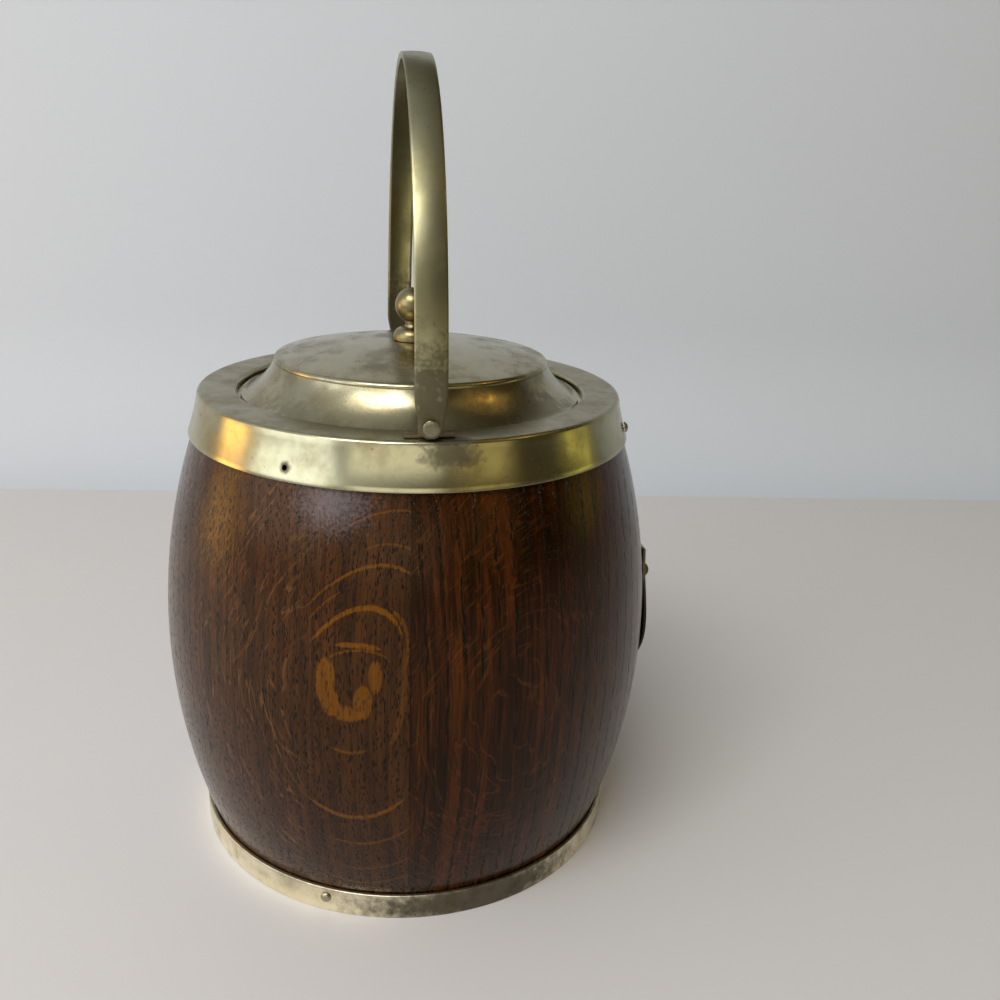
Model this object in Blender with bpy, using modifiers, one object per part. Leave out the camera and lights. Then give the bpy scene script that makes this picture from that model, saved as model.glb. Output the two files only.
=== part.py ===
"""Biscuit barrel: a coopered oak body in plated mounts, with a china liner, a lift-off lid and a swing handle.

The origin is the middle of the underside, +Z is up, the shield faces -Y and the handle swings about X.
"""

import math

import bmesh
import bpy
from mathutils import Matrix, Vector

MM = 0.001

# General
FIT = 0.3 * MM  # gap between pieces that touch
WELD = 0.001 * MM  # points closer than this become one
TURN_STEPS = 40  # facets round a large turned piece
KNOB_STEPS = 20  # facets round a knob, a washer or a rivet
PIN_STEPS = 10  # facets round a pin or a drill
ROUND_POINTS = 4  # points on a small rounding, both ends included
STRIP_COLUMNS = 5  # points across the strap and the shield
SHARP_ANGLE = math.radians(35)  # edges sharper than this stay crisp
BEVEL_ANGLE = math.radians(50)  # edges sharper than this are bevelled

# Oak body
BELLY_RADIUS = 79.9 * MM
BELLY_HEIGHT = 70.5 * MM  # where the barrel is widest
BOW_RADIUS = 200 * MM  # curve of the staves from head to foot
RIM_HEIGHT = 150 * MM  # flat top of the collar
STAVE_COUNT = 4
STAVE_HEAD = 4 * MM  # thickness of the oak at its head
STAVE_BELLY = 12.1 * MM  # thickness where the barrel is widest
STAVE_FOOT = 10 * MM  # thickness at the hoop
STAVE_JOINT = 0.2 * MM
STAVE_POINTS = 12  # up the outside of a stave
BORE_POINTS = 4  # up each half of its inside
SEAM_TURN = math.radians(-4.3)  # first glued seam, from +X
BOARD_THICKNESS = 10 * MM

# Base hoop
HOOP_HEIGHT = 8.2 * MM
HOOP_SHEET = 1 * MM
HOOP_EDGE = 0.3 * MM  # rounding of its two outer edges
METAL_GAP = 0.45 * MM  # between the oak and the metal round it

# Collar: skirt, flat rim, throat, ledge for the lid and sleeve down into the liner
COLLAR_SHEET = 0.9 * MM
SHOULDER_OVERHANG = 2.7 * MM  # past the head of the staves
SHOULDER_ROUND = 1.3 * MM
SHOULDER_END = 15  # degrees above level, where the rounding meets the skirt
SKIRT_DEPTH = 13.1 * MM
SKIRT_SAG = 0.3 * MM  # hollow of the skirt between shoulder and foot
RIM_WIDTH = 12 * MM
LIP_ROUND = 1.4 * MM
LEDGE_DEPTH = 2.7 * MM
SLEEVE_DEPTH = 8 * MM  # below the rim

# China liner
LINER_GAP = 3.2 * MM  # to the oak where its bore is narrowest
LINER_PLAY = 0.7 * MM  # round the collar's sleeve
LINER_WALL = 3.8 * MM
LINER_FLOOR = 5 * MM
LINER_CORNER = 9 * MM

# Lid and its bezel
LID_SHEET = 0.8 * MM
LID_PLAY = 1.2 * MM  # round its edge, in the throat
LID_LIP = 1.1 * MM  # flat edge that rests on the ledge
COVE_WIDTH = 9.2 * MM
COVE_HEIGHT = 10 * MM
COVE_SAG = 1.15 * MM
DRUM_ROUND = 1.3 * MM
DRUM_ROUND_ENDS = (75, -15)  # degrees above level, where the rounding meets the dome and the cove
DOME_RISE = 4.6 * MM
CURVE_POINTS = 5  # along the dome and along the cove
BEZEL_SHEET = 0.8 * MM
BEZEL_PLAY = 0.5 * MM  # inside the collar's sleeve
BEZEL_DEPTH = 8 * MM  # below the lid's seat

# Knob and the bolt that holds it
BALL_RADIUS = 5.45 * MM
BALL_POINTS = 10  # from its top to its neck
NECK_RADIUS = 2.3 * MM
NECK_LENGTH = 1.5 * MM
ROSE_RADIUS = 6 * MM  # turned foot that the ball stands on
ROSE_TOP_RADIUS = 3.1 * MM
ROSE_HEIGHT = 3.8 * MM
ROSE_EDGE = 0.6 * MM
STUD_RADIUS = 1.5 * MM
STUD_PLAY = 0.25 * MM
STUD_REACH = 4 * MM  # into the ball, past its neck
STUD_TAIL = 1 * MM  # past the nut
WASHER_RADIUS = 4.6 * MM
WASHER_SHEET = 0.8 * MM
NUT_FLATS = 6.4 * MM
NUT_HEIGHT = 2.5 * MM

# Handle
STRAP_WIDTH = 8.6 * MM
STRAP_SHEET = 1.8 * MM
STRAP_CROWN = 0.35 * MM  # how far the middle of the strap stands past its edges
STRAP_EDGE = 0.4 * MM
ARCH_HEIGHT = 93.4 * MM  # pivot to the middle of the strap at its top
ARCH_STEPS = 32
EYE_RADIUS = 3.2 * MM  # round end of the strap
EYE_STEPS = 4
EYE_START = -75  # degrees below level, where the round end begins
EYE_TAPER = 8 * MM  # from the pivot to where the strap has its full width
TAPER_STEPS = 3
PIVOT_RISE = 3.5 * MM  # pivot above the rim

# Lugs and rivets
LUG_INSET = 3.1 * MM  # outer face of a lug, in from the collar's shoulder
LUG_THICKNESS = 1.6 * MM
LUG_RADIUS = 3.3 * MM
LUG_ARC_POINTS = 11
LUG_FOOT_LENGTH = 13.6 * MM
LUG_FOOT_DEPTH = 4.3 * MM
LUG_FOOT_HEIGHT = 0.9 * MM
RIVET_RADIUS = 1.1 * MM
RIVET_PLAY = 0.25 * MM
RIVET_HEAD_RADIUS = 2.35 * MM
RIVET_HEAD_HEIGHT = 1.2 * MM
RIVET_HEAD_EDGE = 0.35 * MM
RIVET_PEEN_RADIUS = 1.8 * MM
RIVET_PEEN_HEIGHT = 0.7 * MM

# Shield plaque
SHIELD_SHEET = 1 * MM
SHIELD_TOP = 95 * MM
SHIELD_WAIST = 88 * MM  # height of its narrowest part below the top
SHIELD_SWELL = 66 * MM  # height of its widest part
SHIELD_TIP = 44.5 * MM
SHIELD_TOP_HALF = 12.4 * MM
SHIELD_WAIST_HALF = 11.5 * MM
SHIELD_SWELL_HALF = 15.6 * MM
SHIELD_TIP_HALF = 1 * MM
SHIELD_EDGE = 0.3 * MM
SHIELD_ROWS = 15

# Round-headed pins
PIN_SHANK_RADIUS = 0.55 * MM
PIN_HOLE_RADIUS = 0.8 * MM
PIN_LENGTH = 5 * MM  # under the head
PIN_POINT = 1.2 * MM
PIN_HEAD_POINTS = 5  # from the middle of a head to its edge
SMALL_HEAD = (1.7 * MM, 1.1 * MM)  # radius and height
LARGE_HEAD = (2.3 * MM, 1.7 * MM)
COLLAR_PIN_DROP = 9.5 * MM  # below the rim
COLLAR_PIN_TURNS = (253.6, 21.6)  # degrees from +X
EMPTY_HOLE_TURN = 146.4  # degrees from +X, where a pin has been lost
HOOP_PIN_HEIGHT = 5 * MM
HOOP_PIN_TURNS = (155.2, 275.2, 35.2)  # degrees from +X
SHIELD_PIN_SIDE = 8.6 * MM
SHIELD_PIN_HEIGHT = 86 * MM
SHIELD_TIP_PIN_HEIGHT = 51.5 * MM

COLOURS = {
    "oak": ((0.13, 0.05, 0.022), 0.0, 0.3),
    "oak_end_grain": ((0.17, 0.08, 0.04), 0.0, 0.6),
    "plate": ((0.56, 0.53, 0.38), 1.0, 0.3),
    "pin_metal": ((0.46, 0.45, 0.40), 1.0, 0.3),
    "china": ((0.83, 0.81, 0.74), 0.0, 0.15),
    "bolt_brass": ((0.50, 0.42, 0.24), 1.0, 0.4),
}


def barrel_radius(height):
    """Outer radius of the oak at a height."""
    rise = height - BELLY_HEIGHT
    return BELLY_RADIUS - BOW_RADIUS + math.sqrt(BOW_RADIUS**2 - rise**2)


# Places and sizes that follow from the ones above
STAVE_TOP = RIM_HEIGHT - COLLAR_SHEET - FIT
SKIRT_FOOT = RIM_HEIGHT - SKIRT_DEPTH
FOOT_RADIUS = barrel_radius(HOOP_HEIGHT)
HEAD_BORE = barrel_radius(STAVE_TOP) - STAVE_HEAD
BELLY_BORE = BELLY_RADIUS - STAVE_BELLY
FOOT_BORE = FOOT_RADIUS - STAVE_FOOT
HOOP_RADIUS = FOOT_RADIUS + METAL_GAP + HOOP_SHEET
SHOULDER_RADIUS = barrel_radius(STAVE_TOP) + SHOULDER_OVERHANG
SKIRT_RADIUS = barrel_radius(SKIRT_FOOT) + METAL_GAP + COLLAR_SHEET
THROAT_RADIUS = SHOULDER_RADIUS - RIM_WIDTH
LEDGE_HEIGHT = RIM_HEIGHT - LEDGE_DEPTH
LINER_OUTER = min(HEAD_BORE, FOOT_BORE) - LINER_GAP
LINER_INNER = LINER_OUTER - LINER_WALL
SLEEVE_RADIUS = LINER_INNER - LINER_PLAY - COLLAR_SHEET
LINER_BOTTOM = BOARD_THICKNESS + FIT
LINER_TOP = LEDGE_HEIGHT - COLLAR_SHEET - FIT
LID_SEAT = LEDGE_HEIGHT + FIT
LID_RADIUS = THROAT_RADIUS - LID_PLAY
DRUM_RADIUS = LID_RADIUS - LID_LIP - COVE_WIDTH
DRUM_HEIGHT = LID_SEAT + LID_SHEET + COVE_HEIGHT
LID_CROWN = DRUM_HEIGHT + DRUM_ROUND + DOME_RISE
BEZEL_RADIUS = SLEEVE_RADIUS - BEZEL_PLAY
BOLT_HOLE = STUD_RADIUS + STUD_PLAY
ROSE_FOOT = LID_CROWN + FIT
ROSE_TOP = ROSE_FOOT + ROSE_HEIGHT
KNOB_FOOT = ROSE_TOP + FIT
BALL_HEIGHT = KNOB_FOOT + NECK_LENGTH + math.sqrt(BALL_RADIUS**2 - NECK_RADIUS**2)
STUD_TOP = KNOB_FOOT + NECK_LENGTH + STUD_REACH
WASHER_TOP = LID_CROWN - LID_SHEET - FIT
NUT_TOP = WASHER_TOP - WASHER_SHEET - FIT
STUD_BOTTOM = NUT_TOP - NUT_HEIGHT - STUD_TAIL
PIVOT_HEIGHT = RIM_HEIGHT + PIVOT_RISE
LUG_OUTER = SHOULDER_RADIUS - LUG_INSET
STRAP_INNER = LUG_OUTER + FIT + STRAP_CROWN
ARCH_HALF_SPAN = STRAP_INNER + STRAP_SHEET / 2


def make_material(name, colour, metallic, roughness):
    """A plain surface of one colour."""
    material = bpy.data.materials.new(name)
    material.use_nodes = True
    shader = material.node_tree.nodes["Principled BSDF"]
    shader.inputs["Base Color"].default_value = (*colour, 1)
    shader.inputs["Metallic"].default_value = metallic
    shader.inputs["Roughness"].default_value = roughness
    return material


def make_collection(name):
    """A new collection in the scene."""
    collection = bpy.data.collections.new(name)
    bpy.context.scene.collection.children.link(collection)
    return collection


def make_empty(name, height):
    """An empty on the Z axis, which pieces hang on."""
    empty = bpy.data.objects.new(name, None)
    empty.empty_display_size = 10 * MM
    empty.location.z = height
    PARTS.objects.link(empty)
    return empty


def object_of(bm, name):
    """A new object, in no collection yet, that holds the bmesh."""
    mesh = bpy.data.meshes.new(name)
    bm.to_mesh(mesh)
    bm.free()
    return bpy.data.objects.new(name, mesh)


def solid_from(shape):
    """The mesh that an object's modifiers or curve give, welded and with its faces pointing out."""
    CUTTERS.objects.link(shape)
    graph = bpy.context.evaluated_depsgraph_get()
    mesh = bpy.data.meshes.new_from_object(shape.evaluated_get(graph))
    bpy.data.objects.remove(shape)
    bm = bmesh.new()
    bm.from_mesh(mesh)
    bmesh.ops.remove_doubles(bm, verts=bm.verts, dist=WELD)
    bmesh.ops.recalc_face_normals(bm, faces=bm.faces)
    bm.to_mesh(mesh)
    bm.free()
    mesh.materials.clear()
    return mesh


def add_piece(name, shape, material, parent):
    """Puts a shape into the model as a plain mesh, smooth but for its sharp edges."""
    mesh = solid_from(shape)
    mesh.name = name
    mesh.shade_smooth()
    mesh.set_sharp_from_angle(angle=SHARP_ANGLE)
    mesh.materials.append(MATERIALS[material])
    piece = bpy.data.objects.new(name, mesh)
    piece.parent = parent
    PARTS.objects.link(piece)
    return piece


def add_helper(name, shape):
    """Keeps a shape out of the model, for a Boolean to use."""
    helper = bpy.data.objects.new(name, solid_from(shape))
    helper.hide_render = True
    helper.display_type = "WIRE"
    CUTTERS.objects.link(helper)
    return helper


def combine(piece, helper, operation):
    """Cuts a helper out of a piece, or joins it on."""
    boolean = piece.modifiers.new(helper.name, "BOOLEAN")
    boolean.operation = operation
    boolean.solver = "EXACT"
    boolean.object = helper


def turned_shape(outline, steps, closed):
    """An outline of (radius, height) points turned about Z. An open one starts and ends on the axis."""
    bm = bmesh.new()
    verts = [bm.verts.new((radius, 0, height)) for radius, height in outline]
    for start, end in zip(verts, verts[1:]):
        bm.edges.new((start, end))
    if closed:
        bm.edges.new((verts[-1], verts[0]))
    shape = object_of(bm, "outline")
    screw = shape.modifiers.new("Turn", "SCREW")
    screw.steps = steps
    screw.render_steps = steps
    screw.use_merge_vertices = True
    screw.merge_threshold = WELD
    return shape


def add_turned(name, outline, material, parent, steps=TURN_STEPS, closed=True):
    """A turned piece. Its outline is in world heights, and its mesh in those of its parent."""
    base = parent.location.z
    lowered = [(radius, height - base) for radius, height in outline]
    return add_piece(name, turned_shape(lowered, steps, closed), material, parent)


def plate_shape(outlines, thickness):
    """A flat plate in XY. The first outline is its edge, and each further one a hole."""
    curve = bpy.data.curves.new("plate", "CURVE")
    curve.dimensions = "2D"
    curve.fill_mode = "BOTH"
    curve.extrude = thickness / 2
    for outline in outlines:
        spline = curve.splines.new("POLY")
        spline.points.add(len(outline) - 1)
        for point, (x, y) in zip(spline.points, outline):
            point.co = (x, y, 0, 1)
        spline.use_cyclic_u = True
    return bpy.data.objects.new("plate", curve)


def strip_shape(rows, point_at, sheet, edge):
    """A bent strip of even thickness. point_at takes a row's index and a place across, from -1 to 1."""
    bm = bmesh.new()
    bmesh.ops.create_grid(bm, x_segments=rows - 1, y_segments=STRIP_COLUMNS - 1, size=1)
    for vert in bm.verts:
        row = round((vert.co.x + 1) / 2 * (rows - 1))
        vert.co = point_at(row, vert.co.y)
    shape = object_of(bm, "strip")
    solidify = shape.modifiers.new("Sheet", "SOLIDIFY")
    solidify.thickness = sheet
    solidify.offset = 0
    solidify.use_even_offset = True
    bevel = shape.modifiers.new("Edge", "BEVEL")
    bevel.width = edge
    bevel.segments = 1
    bevel.limit_method = "ANGLE"
    bevel.angle_limit = BEVEL_ANGLE
    return shape


def rod_shape(radius, start, end):
    """A round rod from one point to another."""
    way = end - start
    bm = bmesh.new()
    bmesh.ops.create_cone(
        bm, cap_ends=True, segments=PIN_STEPS, radius1=radius, radius2=radius, depth=way.length
    )
    place = Matrix.Translation((start + end) / 2) @ way.to_track_quat("Z", "Y").to_matrix().to_4x4()
    bmesh.ops.transform(bm, matrix=place, verts=bm.verts)
    return object_of(bm, "rod")


def evenly(start, end, count):
    """Evenly spaced values, both ends included."""
    return [start + (end - start) * i / (count - 1) for i in range(count)]


def arc(centre, radius, start, end, count=ROUND_POINTS):
    """Points on a circle between two angles in degrees, both ends included."""
    angles = [math.radians(a) for a in evenly(start, end, count)]
    return [(centre[0] + radius * math.cos(a), centre[1] + radius * math.sin(a)) for a in angles]


def polygon(radius, count):
    """The corners of a regular polygon round the origin."""
    return arc((0, 0), radius, 0, 360, count + 1)[:-1]


def sagging(start, end, sag, count=ROUND_POINTS):
    """Points of a shallow curve between two points, both ends included. It sags to the right of its way."""
    way = Vector(end) - Vector(start)
    right = Vector((way.y, -way.x)).normalized()
    return [tuple(Vector(start) + way * t + right * (sag * 4 * t * (1 - t))) for t in evenly(0, 1, count)]


def sheet_outline(shown, sheet):
    """The closed outline of a turned sheet, from its shown side. The sheet lies to the right of its way."""
    back = []
    for i, point in enumerate(shown):
        ways = [Vector(shown[j + 1]) - Vector(shown[j]) for j in (i - 1, i) if 0 <= j < len(shown) - 1]
        ways = [way.normalized() for way in ways]
        mean = sum(ways, Vector((0, 0))).normalized()
        reach = sheet / mean.dot(ways[0])
        back.append((point[0] + mean.y * reach, point[1] - mean.x * reach))
    return shown + back[::-1]


def bore_points():
    """The inside of the oak above the board: it swells to the belly and draws in again to the head."""
    quarter = math.pi / 2
    points = []
    for t in evenly(0, 1, BORE_POINTS)[:-1]:
        radius = FOOT_BORE + (BELLY_BORE - FOOT_BORE) * math.sin(quarter * t)
        points.append((radius, BOARD_THICKNESS + (BELLY_HEIGHT - BOARD_THICKNESS) * t))
    for t in evenly(0, 1, BORE_POINTS):
        radius = HEAD_BORE + (BELLY_BORE - HEAD_BORE) * math.cos(quarter * t)
        points.append((radius, BELLY_HEIGHT + (STAVE_TOP - BELLY_HEIGHT) * t))
    return points


def make_staves():
    """The staves: the barrel's section swept round each one's share of the circle, less the joint."""
    outside = [(barrel_radius(z), z) for z in evenly(STAVE_TOP, HOOP_HEIGHT, STAVE_POINTS)]
    section_points = [*outside, (FOOT_RADIUS, 0), (FOOT_BORE, 0), *bore_points()]
    share = 2 * math.pi / STAVE_COUNT
    joint = STAVE_JOINT / BELLY_RADIUS
    staves = []
    for index in range(STAVE_COUNT):
        bm = bmesh.new()
        section = bm.faces.new([bm.verts.new((r, 0, z)) for r, z in section_points])
        start = Matrix.Rotation(SEAM_TURN + share * index + joint / 2, 3, "Z")
        bmesh.ops.rotate(bm, verts=bm.verts, matrix=start)
        bmesh.ops.spin(
            bm,
            geom=[section, *section.edges, *section.verts],
            axis=(0, 0, 1),
            angle=share - joint,
            steps=math.ceil(TURN_STEPS / STAVE_COUNT),
        )
        staves.append(add_piece(f"stave_{index + 1}", object_of(bm, "stave"), "oak", BARREL))
    return staves


def make_board():
    """The round base board, let in flush between the feet of the staves."""
    edge = FOOT_BORE - FIT
    outline = [(0, BOARD_THICKNESS), (edge, BOARD_THICKNESS), (edge, 0), (0, 0)]
    return add_turned("base_board", outline, "oak_end_grain", BARREL, closed=False)


def make_hoop():
    """The metal hoop round the foot."""
    inner = FOOT_RADIUS + METAL_GAP
    edge = HOOP_RADIUS - HOOP_EDGE
    top = arc((edge, HOOP_HEIGHT - HOOP_EDGE), HOOP_EDGE, 90, 0)
    bottom = arc((edge, HOOP_EDGE), HOOP_EDGE, 0, -90)
    return add_turned("base_hoop", [(inner, HOOP_HEIGHT), *top, *bottom, (inner, 0)], "plate", BARREL)


def make_liner():
    """The china liner, which stands on the base board and is held down by the collar."""
    floor = LINER_BOTTOM + LINER_FLOOR
    inside = arc((LINER_INNER - LINER_CORNER, floor + LINER_CORNER), LINER_CORNER, -90, 0)
    lip = LINER_WALL / 2
    mouth = arc((LINER_INNER + lip, LINER_TOP - lip), lip, 180, 0, 2 * ROUND_POINTS)
    foot_centre = (LINER_OUTER - LINER_CORNER, LINER_BOTTOM + LINER_CORNER)
    foot = arc(foot_centre, LINER_CORNER, 0, -90)
    outline = [(0, floor), *inside, *mouth, *foot, (0, LINER_BOTTOM)]
    return add_turned("china_liner", outline, "china", BARREL, closed=False)


def make_collar():
    """The spun collar: sleeve, ledge, throat, rolled lip, flat rim, shoulder and skirt."""
    sleeve = [(SLEEVE_RADIUS, RIM_HEIGHT - SLEEVE_DEPTH), (SLEEVE_RADIUS, LEDGE_HEIGHT)]
    lip = arc((THROAT_RADIUS + LIP_ROUND, RIM_HEIGHT - LIP_ROUND), LIP_ROUND, 180, 90)
    shoulder_centre = (SHOULDER_RADIUS - SHOULDER_ROUND, RIM_HEIGHT - SHOULDER_ROUND)
    shoulder = arc(shoulder_centre, SHOULDER_ROUND, 90, SHOULDER_END)
    skirt = sagging(shoulder[-1], (SKIRT_RADIUS, SKIRT_FOOT), SKIRT_SAG)
    shown = [*sleeve, (THROAT_RADIUS, LEDGE_HEIGHT), *lip, *shoulder, *skirt[1:]]
    return add_turned("collar", sheet_outline(shown, COLLAR_SHEET), "plate", BARREL)


def lid_outline():
    """Section of the lid, from its bolt hole over the dome and down the cove to its edge, and back."""
    rim = DRUM_RADIUS - DRUM_ROUND
    dome_top = DRUM_HEIGHT + DRUM_ROUND
    radii = [BOLT_HOLE, *evenly(ROSE_RADIUS, rim, CURVE_POINTS)[:-1]]
    dome = [(r, dome_top + DOME_RISE * (1 - (r / rim) ** 2)) for r in radii]
    edge = arc((rim, DRUM_HEIGHT), DRUM_ROUND, *DRUM_ROUND_ENDS)
    lip = (LID_RADIUS - LID_LIP, LID_SEAT + LID_SHEET)
    cove = sagging(edge[-1], lip, COVE_SAG, CURVE_POINTS)
    return sheet_outline([*dome, *edge, *cove[1:], (LID_RADIUS, LID_SEAT + LID_SHEET)], LID_SHEET)


def lid_underside(outline, radius):
    """Height of the lid's underside at a radius."""
    back = outline[len(outline) // 2 :]
    for (r0, z0), (r1, z1) in zip(back, back[1:]):
        if r1 <= radius <= r0:
            return z0 + (z1 - z0) * (r0 - radius) / (r0 - r1)
    return LID_SEAT


def make_lid():
    """The spun lid and the bezel under it, which keeps it central in the collar's sleeve."""
    outline = lid_outline()
    add_turned("lid", outline, "plate", LID)
    inner = BEZEL_RADIUS - BEZEL_SHEET
    bottom = LID_SEAT - BEZEL_DEPTH
    tops = [(r, lid_underside(outline, r) - FIT) for r in (inner, BEZEL_RADIUS)]
    add_turned("lid_bezel", [*tops, (BEZEL_RADIUS, bottom), (inner, bottom)], "plate", LID)


def make_knob():
    """The ball knob on its turned foot, and the stud, washer and nut that hold both to the lid."""
    neck_angle = math.degrees(math.asin(NECK_RADIUS / BALL_RADIUS))
    ball = arc((0, BALL_HEIGHT), BALL_RADIUS, 90, neck_angle - 90, BALL_POINTS)
    bore_top = STUD_TOP + FIT
    bore = [(BOLT_HOLE, KNOB_FOOT), (BOLT_HOLE, bore_top), (0, bore_top)]
    knob = [(0, ball[0][1]), *ball[1:], (NECK_RADIUS, KNOB_FOOT), *bore]
    add_turned("knob", knob, "plate", LID, KNOB_STEPS, closed=False)

    crown = [(BOLT_HOLE, ROSE_TOP), (ROSE_TOP_RADIUS, ROSE_TOP)]
    side_foot = ROSE_FOOT + ROSE_EDGE
    side_span = ROSE_RADIUS - ROSE_TOP_RADIUS
    side_rise = ROSE_TOP - side_foot
    curve = arc((0, 0), 1, 90, 0)[1:]
    side = [(ROSE_TOP_RADIUS + side_span * x, side_foot + side_rise * y) for x, y in curve]
    rose = [*crown, *side, (ROSE_RADIUS, ROSE_FOOT), (BOLT_HOLE, ROSE_FOOT)]
    add_turned("knob_base", rose, "plate", LID, KNOB_STEPS)

    stud = [(0, STUD_TOP), (STUD_RADIUS, STUD_TOP), (STUD_RADIUS, STUD_BOTTOM), (0, STUD_BOTTOM)]
    add_turned("knob_stud", stud, "bolt_brass", LID, KNOB_STEPS, closed=False)

    washer_foot = WASHER_TOP - WASHER_SHEET
    washer = [
        (BOLT_HOLE, WASHER_TOP),
        (WASHER_RADIUS, WASHER_TOP),
        (WASHER_RADIUS, washer_foot),
        (BOLT_HOLE, washer_foot),
    ]
    add_turned("knob_washer", washer, "bolt_brass", LID, KNOB_STEPS)

    hexagon = polygon(NUT_FLATS / 2 / math.cos(math.pi / 6), 6)
    shape = plate_shape([hexagon, polygon(BOLT_HOLE, KNOB_STEPS)], NUT_HEIGHT)
    nut = add_piece("knob_nut", shape, "bolt_brass", LID)
    nut.location.z = NUT_TOP - NUT_HEIGHT / 2 - LID.location.z


def strap_rows():
    """Middle of the strap from one round end to the other, as (x, height over the pivot, half its width)."""
    full = STRAP_WIDTH / 2
    eye_angles = [math.radians(a) for a in evenly(EYE_START, 0, EYE_STEPS + 1)[:-1]]
    eye = [(ARCH_HALF_SPAN, EYE_RADIUS * math.sin(a), EYE_RADIUS * math.cos(a)) for a in eye_angles]
    taper_turn = math.asin(EYE_TAPER / ARCH_HEIGHT)
    tapering = evenly(0, taper_turn, TAPER_STEPS + 1)[:-1]
    turns = [*tapering, *evenly(taper_turn, math.pi / 2, ARCH_STEPS // 2)]
    leg = []
    for turn in turns:
        rise = ARCH_HEIGHT * math.sin(turn)
        share = min(rise / EYE_TAPER, 1)
        half = EYE_RADIUS + (full - EYE_RADIUS) * share**2 * (3 - 2 * share)
        leg.append((ARCH_HALF_SPAN * math.cos(turn), rise, half))
    side = eye + leg
    return side + [(-x, rise, half) for x, rise, half in side[-2::-1]]


def make_handle():
    """The bowed strap handle, with a hole for its rivet in each end."""
    rows = strap_rows()

    def point_at(row, across):
        x, rise, half = rows[row]
        turn = math.atan2(max(rise, 0) / ARCH_HEIGHT, x / ARCH_HALF_SPAN)
        out = Vector((math.cos(turn) / ARCH_HALF_SPAN, 0, math.sin(turn) / ARCH_HEIGHT)).normalized()
        side = half * across
        return Vector((x, side, rise)) - out * (STRAP_CROWN * (side / (STRAP_WIDTH / 2)) ** 2)

    shape = strip_shape(len(rows), point_at, STRAP_SHEET, STRAP_EDGE)
    handle = add_piece("handle", shape, "plate", HANDLE)
    reach = ARCH_HALF_SPAN + STRAP_SHEET
    for name, side in (("left", -1), ("right", 1)):
        start = Vector((side * (ARCH_HALF_SPAN - STRAP_SHEET), 0, PIVOT_HEIGHT))
        end = Vector((side * reach, 0, PIVOT_HEIGHT))
        drill = rod_shape(RIVET_RADIUS + RIVET_PLAY, start, end)
        combine(handle, add_helper(f"handle_hole_{name}", drill), "DIFFERENCE")


def make_lug(name, side):
    """A lug soldered on the rim: a foot, and an upright ear with a round top."""
    foot_bottom = RIM_HEIGHT + FIT
    ear = arc((0, PIVOT_HEIGHT), LUG_RADIUS, 0, 180, LUG_ARC_POINTS)
    ear += [(-LUG_RADIUS, foot_bottom), (LUG_RADIUS, foot_bottom)]
    shape = plate_shape([ear], LUG_THICKNESS)
    lug = add_piece(f"lug_{name}", shape, "plate", BARREL)
    lug.rotation_euler = (math.pi / 2, 0, math.pi / 2)
    lug.location.x = side * (LUG_OUTER - LUG_THICKNESS / 2)

    bm = bmesh.new()
    bmesh.ops.create_cube(bm, size=1)
    bmesh.ops.scale(bm, vec=(LUG_FOOT_DEPTH, LUG_FOOT_LENGTH, LUG_FOOT_HEIGHT), verts=bm.verts)
    centre = (side * (LUG_OUTER - LUG_FOOT_DEPTH / 2), 0, foot_bottom + LUG_FOOT_HEIGHT / 2)
    bmesh.ops.translate(bm, vec=centre, verts=bm.verts)
    combine(lug, add_helper(f"lug_foot_{name}", object_of(bm, "foot")), "UNION")

    start = Vector((side * (LUG_OUTER - 2 * LUG_THICKNESS), 0, PIVOT_HEIGHT))
    end = Vector((side * (LUG_OUTER + LUG_THICKNESS), 0, PIVOT_HEIGHT))
    drill = rod_shape(RIVET_RADIUS + RIVET_PLAY, start, end)
    combine(lug, add_helper(f"lug_hole_{name}", drill), "DIFFERENCE")


def make_rivet(name, side):
    """The pivot rivet: its head outside the strap, its shank through strap and lug, and a peened end."""
    head_foot = STRAP_INNER + STRAP_SHEET + FIT
    head_face = head_foot + RIVET_HEAD_HEIGHT
    peen_top = LUG_OUTER - LUG_THICKNESS - FIT
    peen_face = peen_top - RIVET_PEEN_HEIGHT
    outline = [
        (0, head_face),
        (RIVET_HEAD_RADIUS - RIVET_HEAD_EDGE, head_face),
        (RIVET_HEAD_RADIUS, head_face - RIVET_HEAD_EDGE),
        (RIVET_HEAD_RADIUS, head_foot),
        (RIVET_RADIUS, head_foot),
        (RIVET_RADIUS, peen_top),
        (RIVET_PEEN_RADIUS, peen_top),
        (RIVET_RADIUS, peen_face),
        (0, peen_face),
    ]
    rivet = add_piece(f"rivet_{name}", turned_shape(outline, KNOB_STEPS, False), "pin_metal", BARREL)
    rivet.rotation_euler.y = side * math.pi / 2
    rivet.location.z = PIVOT_HEIGHT


def shield_half_width(height):
    """Half the shield's width: a shallow waist under the top, a swell, and a round run down to the tip."""
    if height > SHIELD_WAIST:
        share = (height - SHIELD_WAIST) / (SHIELD_TOP - SHIELD_WAIST)
        return SHIELD_WAIST_HALF + (SHIELD_TOP_HALF - SHIELD_WAIST_HALF) * share**2
    if height > SHIELD_SWELL:
        share = (height - SHIELD_SWELL) / (SHIELD_WAIST - SHIELD_SWELL)
        ease = (1 + math.cos(math.pi * share)) / 2
        return SHIELD_WAIST_HALF + (SHIELD_SWELL_HALF - SHIELD_WAIST_HALF) * ease
    share = (SHIELD_SWELL - height) / (SHIELD_SWELL - SHIELD_TIP)
    return SHIELD_TIP_HALF + (SHIELD_SWELL_HALF - SHIELD_TIP_HALF) * math.cos(math.pi / 2 * share)


def shield_face(height):
    """Distance of the shield's outer face from the barrel's axis."""
    return barrel_radius(height) + FIT + SHIELD_SHEET


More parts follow.
